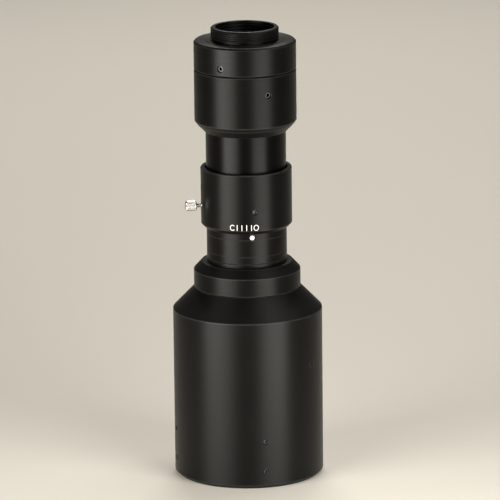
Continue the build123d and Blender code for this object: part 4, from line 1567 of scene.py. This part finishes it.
@dataclass
class CameraMount(SubAssembly):
    """The turning mount ring with the one-inch camera thread, and its set screws."""

    pitch: float = 25.4 / 32
    thread_depth: float = 0.46
    thread_length: float = 4.0
    thread_radius: float = 12.7
    thread_row: float = 0.05
    thread_wear_and_sheen: float = 0.35
    thread_inset: float = 0.02
    thread_run_out: float = 0.2
    relief_depth: float = 0.75
    seat_relief: float = 0.15
    shoulder_step: float = 1.85
    shoulder_length: float = 0.15
    ring_length: float = 10.7
    ring_chamfer: float = 0.65
    chamfer: float = 0.5
    edge: float = 0.3
    mount_wall: float = 1.7
    spigot_wall: float = 3.5
    spigot_play: float = 0.06
    floor: float = 162.05
    groove_pitch: float = 1.2
    groove_depth: float = 0.3
    groove_count: int = 4
    screw_angle: float = -29.1
    screw_rise: float = 2.85
    screw_radius: float = 1.15
    point_length: float = 0.86
    hole_chamfer: float = 0.15
    hole_floor: float = 0.05

    def thread_points(self, low: float, high: float) -> list[Point]:
        """Returns the rows of the thread between two heights."""
        rows = int((high - low) / self.thread_row)
        heights = (low + (high - low) * number / rows for number in range(rows + 1))
        # The thread gets part of the paler edge paint: wear and painted highlight.
        return [Point(self.thread_radius, z, self.thread_wear_and_sheen, Outline.THREADED) for z in heights]

    def build(self) -> None:
        """Builds the mount ring with its thread and glare grooves, and its set screws."""
        node = self.measure("camera_mount_ring")
        top, bottom = node.high, node.low
        ring_top, seat = bottom + self.ring_length, bottom + self.ring_length + self.shoulder_length
        thread_low = top - self.thread_length
        shoulder, relief = self.thread_radius + self.shoulder_step, self.thread_radius - self.relief_depth
        bore = self.thread_radius - self.mount_wall
        spigot_bore = self.measure("camera_adapter").inner + self.spigot_wall + self.spigot_play
        before = rounded(
            [
                Corner(spigot_bore, bottom),
                Corner(node.outer - self.edge, bottom, 0.1),
                Corner(node.outer, bottom + self.edge, 0.1),
                Corner(node.outer, ring_top - self.ring_chamfer, 0.08),
                Corner(node.outer - self.ring_chamfer, ring_top, 0.08),
                Corner(shoulder, ring_top, 0.02),
                Corner(shoulder, seat, 0.06),
                Corner(self.thread_radius + self.seat_relief, seat, 0.05),
                Corner(self.thread_radius + self.seat_relief, seat - self.seat_relief, 0.02),
                Corner(relief, seat - self.seat_relief, 0.03),
                Corner(relief, thread_low, 0.03),
                Corner(self.thread_radius - self.thread_inset, thread_low, 0.02),
            ],
            closed=False, support=0.08,
        )
        grooves = []
        for number in range(self.groove_count):
            height = top - self.groove_pitch * (number + 1)
            grooves += [
                Corner(bore, height + self.groove_depth, 0.02),
                Corner(bore + self.groove_depth, height, 0.02),
                Corner(bore, height - self.groove_depth, 0.02),
            ]
        after = rounded(
            [
                Corner(self.thread_radius, top - self.chamfer),
                Corner(self.thread_radius - self.chamfer, top, 0.08),
                Corner(bore, top, 0.08),
                *grooves,
                Corner(bore, self.floor, 0.1),
                Corner(spigot_bore, self.floor, 0.1),
                Corner(spigot_bore, bottom + self.thread_inset),
            ],
            closed=False, support=0.05,
        )
        low, high = thread_low + self.thread_inset, top - self.chamfer - self.thread_inset
        points = [*before[:-1], *self.thread_points(low, high), *after]
        places = [(self.screw_angle + 120 * side, bottom + self.screw_rise) for side in range(3)]
        drilled, depth = self.screw_radius + self.play, node.outer - spigot_bore - self.hole_floor
        holes = [Hole(angle, z, drilled, depth, self.hole_chamfer) for angle, z in places]
        thread = Thread(self.pitch, self.thread_depth, thread_low, top - self.chamfer * self.thread_run_out)
        body = Turned(points, columns=288, holes=holes, thread=thread)
        self.turn("camera_mount_body", "camera_mount_ring", body, ANODISED_RING, "camera_mount")
        self.grub_screws(
            "mount_grub_screws", "mount_set_screws", "camera_mount", self.screw_radius, self.point_length,
            places,
        )


@dataclass
class InnerPieces(SubAssembly):
    """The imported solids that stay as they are, and get the finish of their material slot."""

    def build(self) -> None:
        """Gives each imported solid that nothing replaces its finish."""
        finishes = {
            "black_anodised": ANODISED_BORE,
            "cam_brass": CAM_BRASS,
            "blued_steel": BLADE_STEEL,
            "pin_steel": PIN_STEEL,
            "screw_steel": BLACK_STEEL,
            "thumb_chrome": CHROME,
            "optical_glass": GLASS,
        }
        slots = {part["node"]: part["material_slot"] for part in self.frame["record"]["subparts"]}
        for name, piece in sorted(self.frame["nodes"].items()):
            if piece.hide_render:
                continue
            finish = finishes[slots[name]]
            piece.data.materials.clear()
            piece.data.materials.append(finish.material())
            log.info("%s: packed solid in %s", name, finish.label)


class Side(Enum):
    """Side of the object, seen from the camera, on which a light panel stands."""

    LEFT = -1
    RIGHT = 1


def area_lamp(
    name: str, size: tuple[float, float], energy: float, spread: float,
    colour: tuple[float, float, float], placing: Matrix,
) -> None:
    """Adds a soft rectangular lamp that the camera doesn't see.

    Args:
        name: Name of the lamp.
        size: Width and height of its face, in metres.
        energy: Its power, in watts.
        spread: Angle that its light spreads over.
        colour: Colour of its light.
        placing: Where it stands, in metres; it shines along its own -Z.
    """
    lamp = bpy.data.lights.new(name, "AREA")
    lamp.shape = "RECTANGLE"
    lamp.size, lamp.size_y = size
    lamp.energy, lamp.spread, lamp.color = energy, math.radians(spread), colour
    placed = bpy.data.objects.new(name, lamp)
    placed.matrix_world = placing
    placed.visible_camera = False
    bpy.context.scene.collection.objects.link(placed)
    log.info("%s: %.2f x %.2f m", name, *size)


@dataclass(frozen=True)
class LightPanel:
    """A tall soft light that stands between two directions seen from the object.

    Args:
        side: Side it stands on.
        near: Angle from the front of its edge near the camera.
        far: Angle from the front of its edge away from the camera.
        near_reach: Distance of the near edge from the optical axis, in metres.
        far_reach: Distance of the far edge.
        low: Height of its lower edge.
        high: Height of its upper edge.
        radiance: Brightness of its face, seen square on.
        spread: Angle that its honeycomb grid lets the light spread over.
        colour: Colour of its light.
    """

    side: Side
    near: float
    far: float
    near_reach: float
    far_reach: float
    low: float
    high: float
    radiance: float
    spread: float = 110.0
    colour: tuple[float, float, float] = (1.0, 0.965, 0.9)

    def build(self) -> None:
        """Adds the area lamp, square to the line between its edges."""
        name = f"panel_{self.side.name.lower()}_{self.near:.0f}"
        near = outward(self.side.value * self.near) * self.near_reach
        far = outward(self.side.value * self.far) * self.far_reach
        width, height = (far - near).length, self.high - self.low
        half = math.radians(self.spread) / 2
        gain = math.tan(half) / (math.tan(half) - half)
        energy = self.radiance * math.pi * width * height / gain
        middle, across = (near + far) / 2, (far - near).normalized()
        if across.cross(UP).dot(middle) < 0:
            across.negate()
        turn = Matrix((across, UP, across.cross(UP))).transposed()
        placing = Matrix.Translation(middle + UP * (self.low + self.high) / 2) @ turn.to_4x4()
        area_lamp(name, (width, height), energy, self.spread, self.colour, placing)


@dataclass
class Studio:
    """Floor, backdrop, lights and camera."""

    floor_rings: tuple[float, ...] = (0.0, 0.15, 0.4, 0.8, 1.4, 2.0)
    floor_reach: float = 2.5
    floor_columns: int = 96
    wall_turn: float = 0.7
    wall_steps: int = 12
    wall_gain: float = 2.2
    wall_height: float = 1.2
    camera_pitch: float = 13.624
    camera_distance: float = 1.83743
    aim_height: float = 0.088
    lens: float = 353.07
    roll: float = 0.627
    aim_column: float = 246.89
    aim_row: float = 242.73
    image: int = 500
    lamp_colour: tuple[float, float, float] = (1.0, 0.975, 0.92)
    world_colour: tuple[float, float, float] = (0.95, 0.93, 0.9)
    world_strength: float = 0.05

    def backdrop(self) -> None:
        """Builds the floor that turns up into a wall behind the object."""
        section = [(ring, 0.0) for ring in (*self.floor_rings, self.floor_reach)]
        for step in range(1, self.wall_steps + 1):
            turned = math.pi / 2 * step / self.wall_steps
            rise = self.wall_turn * (1 - math.cos(turned))
            section.append((self.floor_reach + self.wall_turn * math.sin(turned), rise))
        section.append((self.floor_reach + self.wall_turn, self.wall_height))
        columns = self.floor_columns
        places, faces = [], []
        for reach, rise in section:
            for number in range(columns + 1):
                angle = -180 + 360 * number / columns
                share = max(0.0, -math.cos(math.radians(angle)))
                out = outward(angle) * reach
                places.append((out.x, out.y, rise * min(1.0, share * self.wall_gain)))
        for row in range(len(section) - 1):
            for number in range(columns):
                a = row * (columns + 1) + number
                faces.append((a, a + columns + 1, a + columns + 2, a + 1))
        mesh = bpy.data.meshes.new("studio_floor")
        mesh.from_pydata(places, [], faces)
        mesh.polygons.foreach_set("use_smooth", [True] * len(mesh.polygons))
        mesh.validate()
        mesh.materials.append(PAPER.material())
        floor = bpy.data.objects.new("studio_floor", mesh)
        bpy.context.scene.collection.objects.link(floor)

    def overhead(
        self, name: str, place: tuple[float, float, float], target: tuple[float, float, float],
        size: tuple[float, float], energy: float, spread: float,
    ) -> None:
        """Hangs a soft light over the stage.

        Args:
            name: Name of the lamp.
            place: Its middle, in metres.
            target: Place that it points at.
            size: Its width and depth, in metres.
            energy: Its power, in watts.
            spread: Angle that its light spreads over, in degrees.
        """
        turn = (Vector(target) - Vector(place)).to_track_quat("-Z", "Y").to_matrix()
        placing = Matrix.Translation(place) @ turn.to_4x4()
        area_lamp(name, size, energy, spread, self.lamp_colour, placing)

    def lights(self) -> None:
        """Sets the panels, the two lights overhead and the dim room."""
        LightPanel(Side.LEFT, 22, 66, 0.42, 0.37, 0.0, 0.21, 17.5, 90.0).build()
        LightPanel(Side.RIGHT, 18, 57, 0.42, 0.37, 0.0, 0.6, 3.8, 150.0).build()
        LightPanel(Side.RIGHT, 20, 57, 0.27, 0.24, 0.0, 0.07, 14.0).build()
        self.overhead("top_light", (0.32, 0.35, 1.0), (0.0, 0.1, 0.0), (0.5, 0.5), 0.3, 60.0)
        self.overhead("backdrop_light", (0.0, 1.35, 1.25), (0.0, 0.5, 0.0), (0.8, 0.6), 3.6, 76.0)
        world = bpy.data.worlds.new("dim_room")
        world.use_nodes = True
        shade = world.node_tree.nodes["Background"]
        shade.inputs["Color"].default_value = (*self.world_colour, 1.0)
        shade.inputs["Strength"].default_value = self.world_strength
        bpy.context.scene.world = world

    def camera(self) -> None:
        """Sets the camera where the photograph was taken from."""
        lens = bpy.data.cameras.new("view_camera")
        lens.lens, lens.sensor_width = self.lens, 36.0
        lens.shift_x = (self.image / 2 - self.aim_column) / self.image
        lens.shift_y = (self.aim_row - self.image / 2) / self.image
        lens.clip_start, lens.clip_end = 0.05, 50.0
        pitch = math.radians(self.camera_pitch)
        back = Vector((0.0, -math.cos(pitch), math.sin(pitch)))
        placed = bpy.data.objects.new("view_camera", lens)
        roll = Matrix.Rotation(math.radians(-self.roll), 3, "Z")
        turn = (-back).to_track_quat("-Z", "Y").to_matrix() @ roll
        place = Vector((0.0, 0.0, self.aim_height)) + back * self.camera_distance
        placed.matrix_world = Matrix.Translation(place) @ turn.to_4x4()
        bpy.context.scene.collection.objects.link(placed)
        bpy.context.scene.camera = placed

    def build(self) -> None:
        """Builds the stage, the lights and the camera, and sets the view transform."""
        self.backdrop()
        self.lights()
        self.camera()
        bpy.context.scene.view_settings.view_transform = "Standard"


def main() -> None:
    """Loads the frame and builds every sub-assembly and the studio."""
    logging.basicConfig(level=logging.INFO, format="%(name)s %(message)s")
    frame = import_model()
    kinds: list[Callable[[dict], SubAssembly]] = [
        ObjectiveBarrel, ApertureNeck, IrisRing, RelayTube, CameraAdapter, CameraMount, InnerPieces,
    ]
    for kind in kinds:
        kind(frame).build()
    Studio().build()


if __name__ == "__main__":
    main()
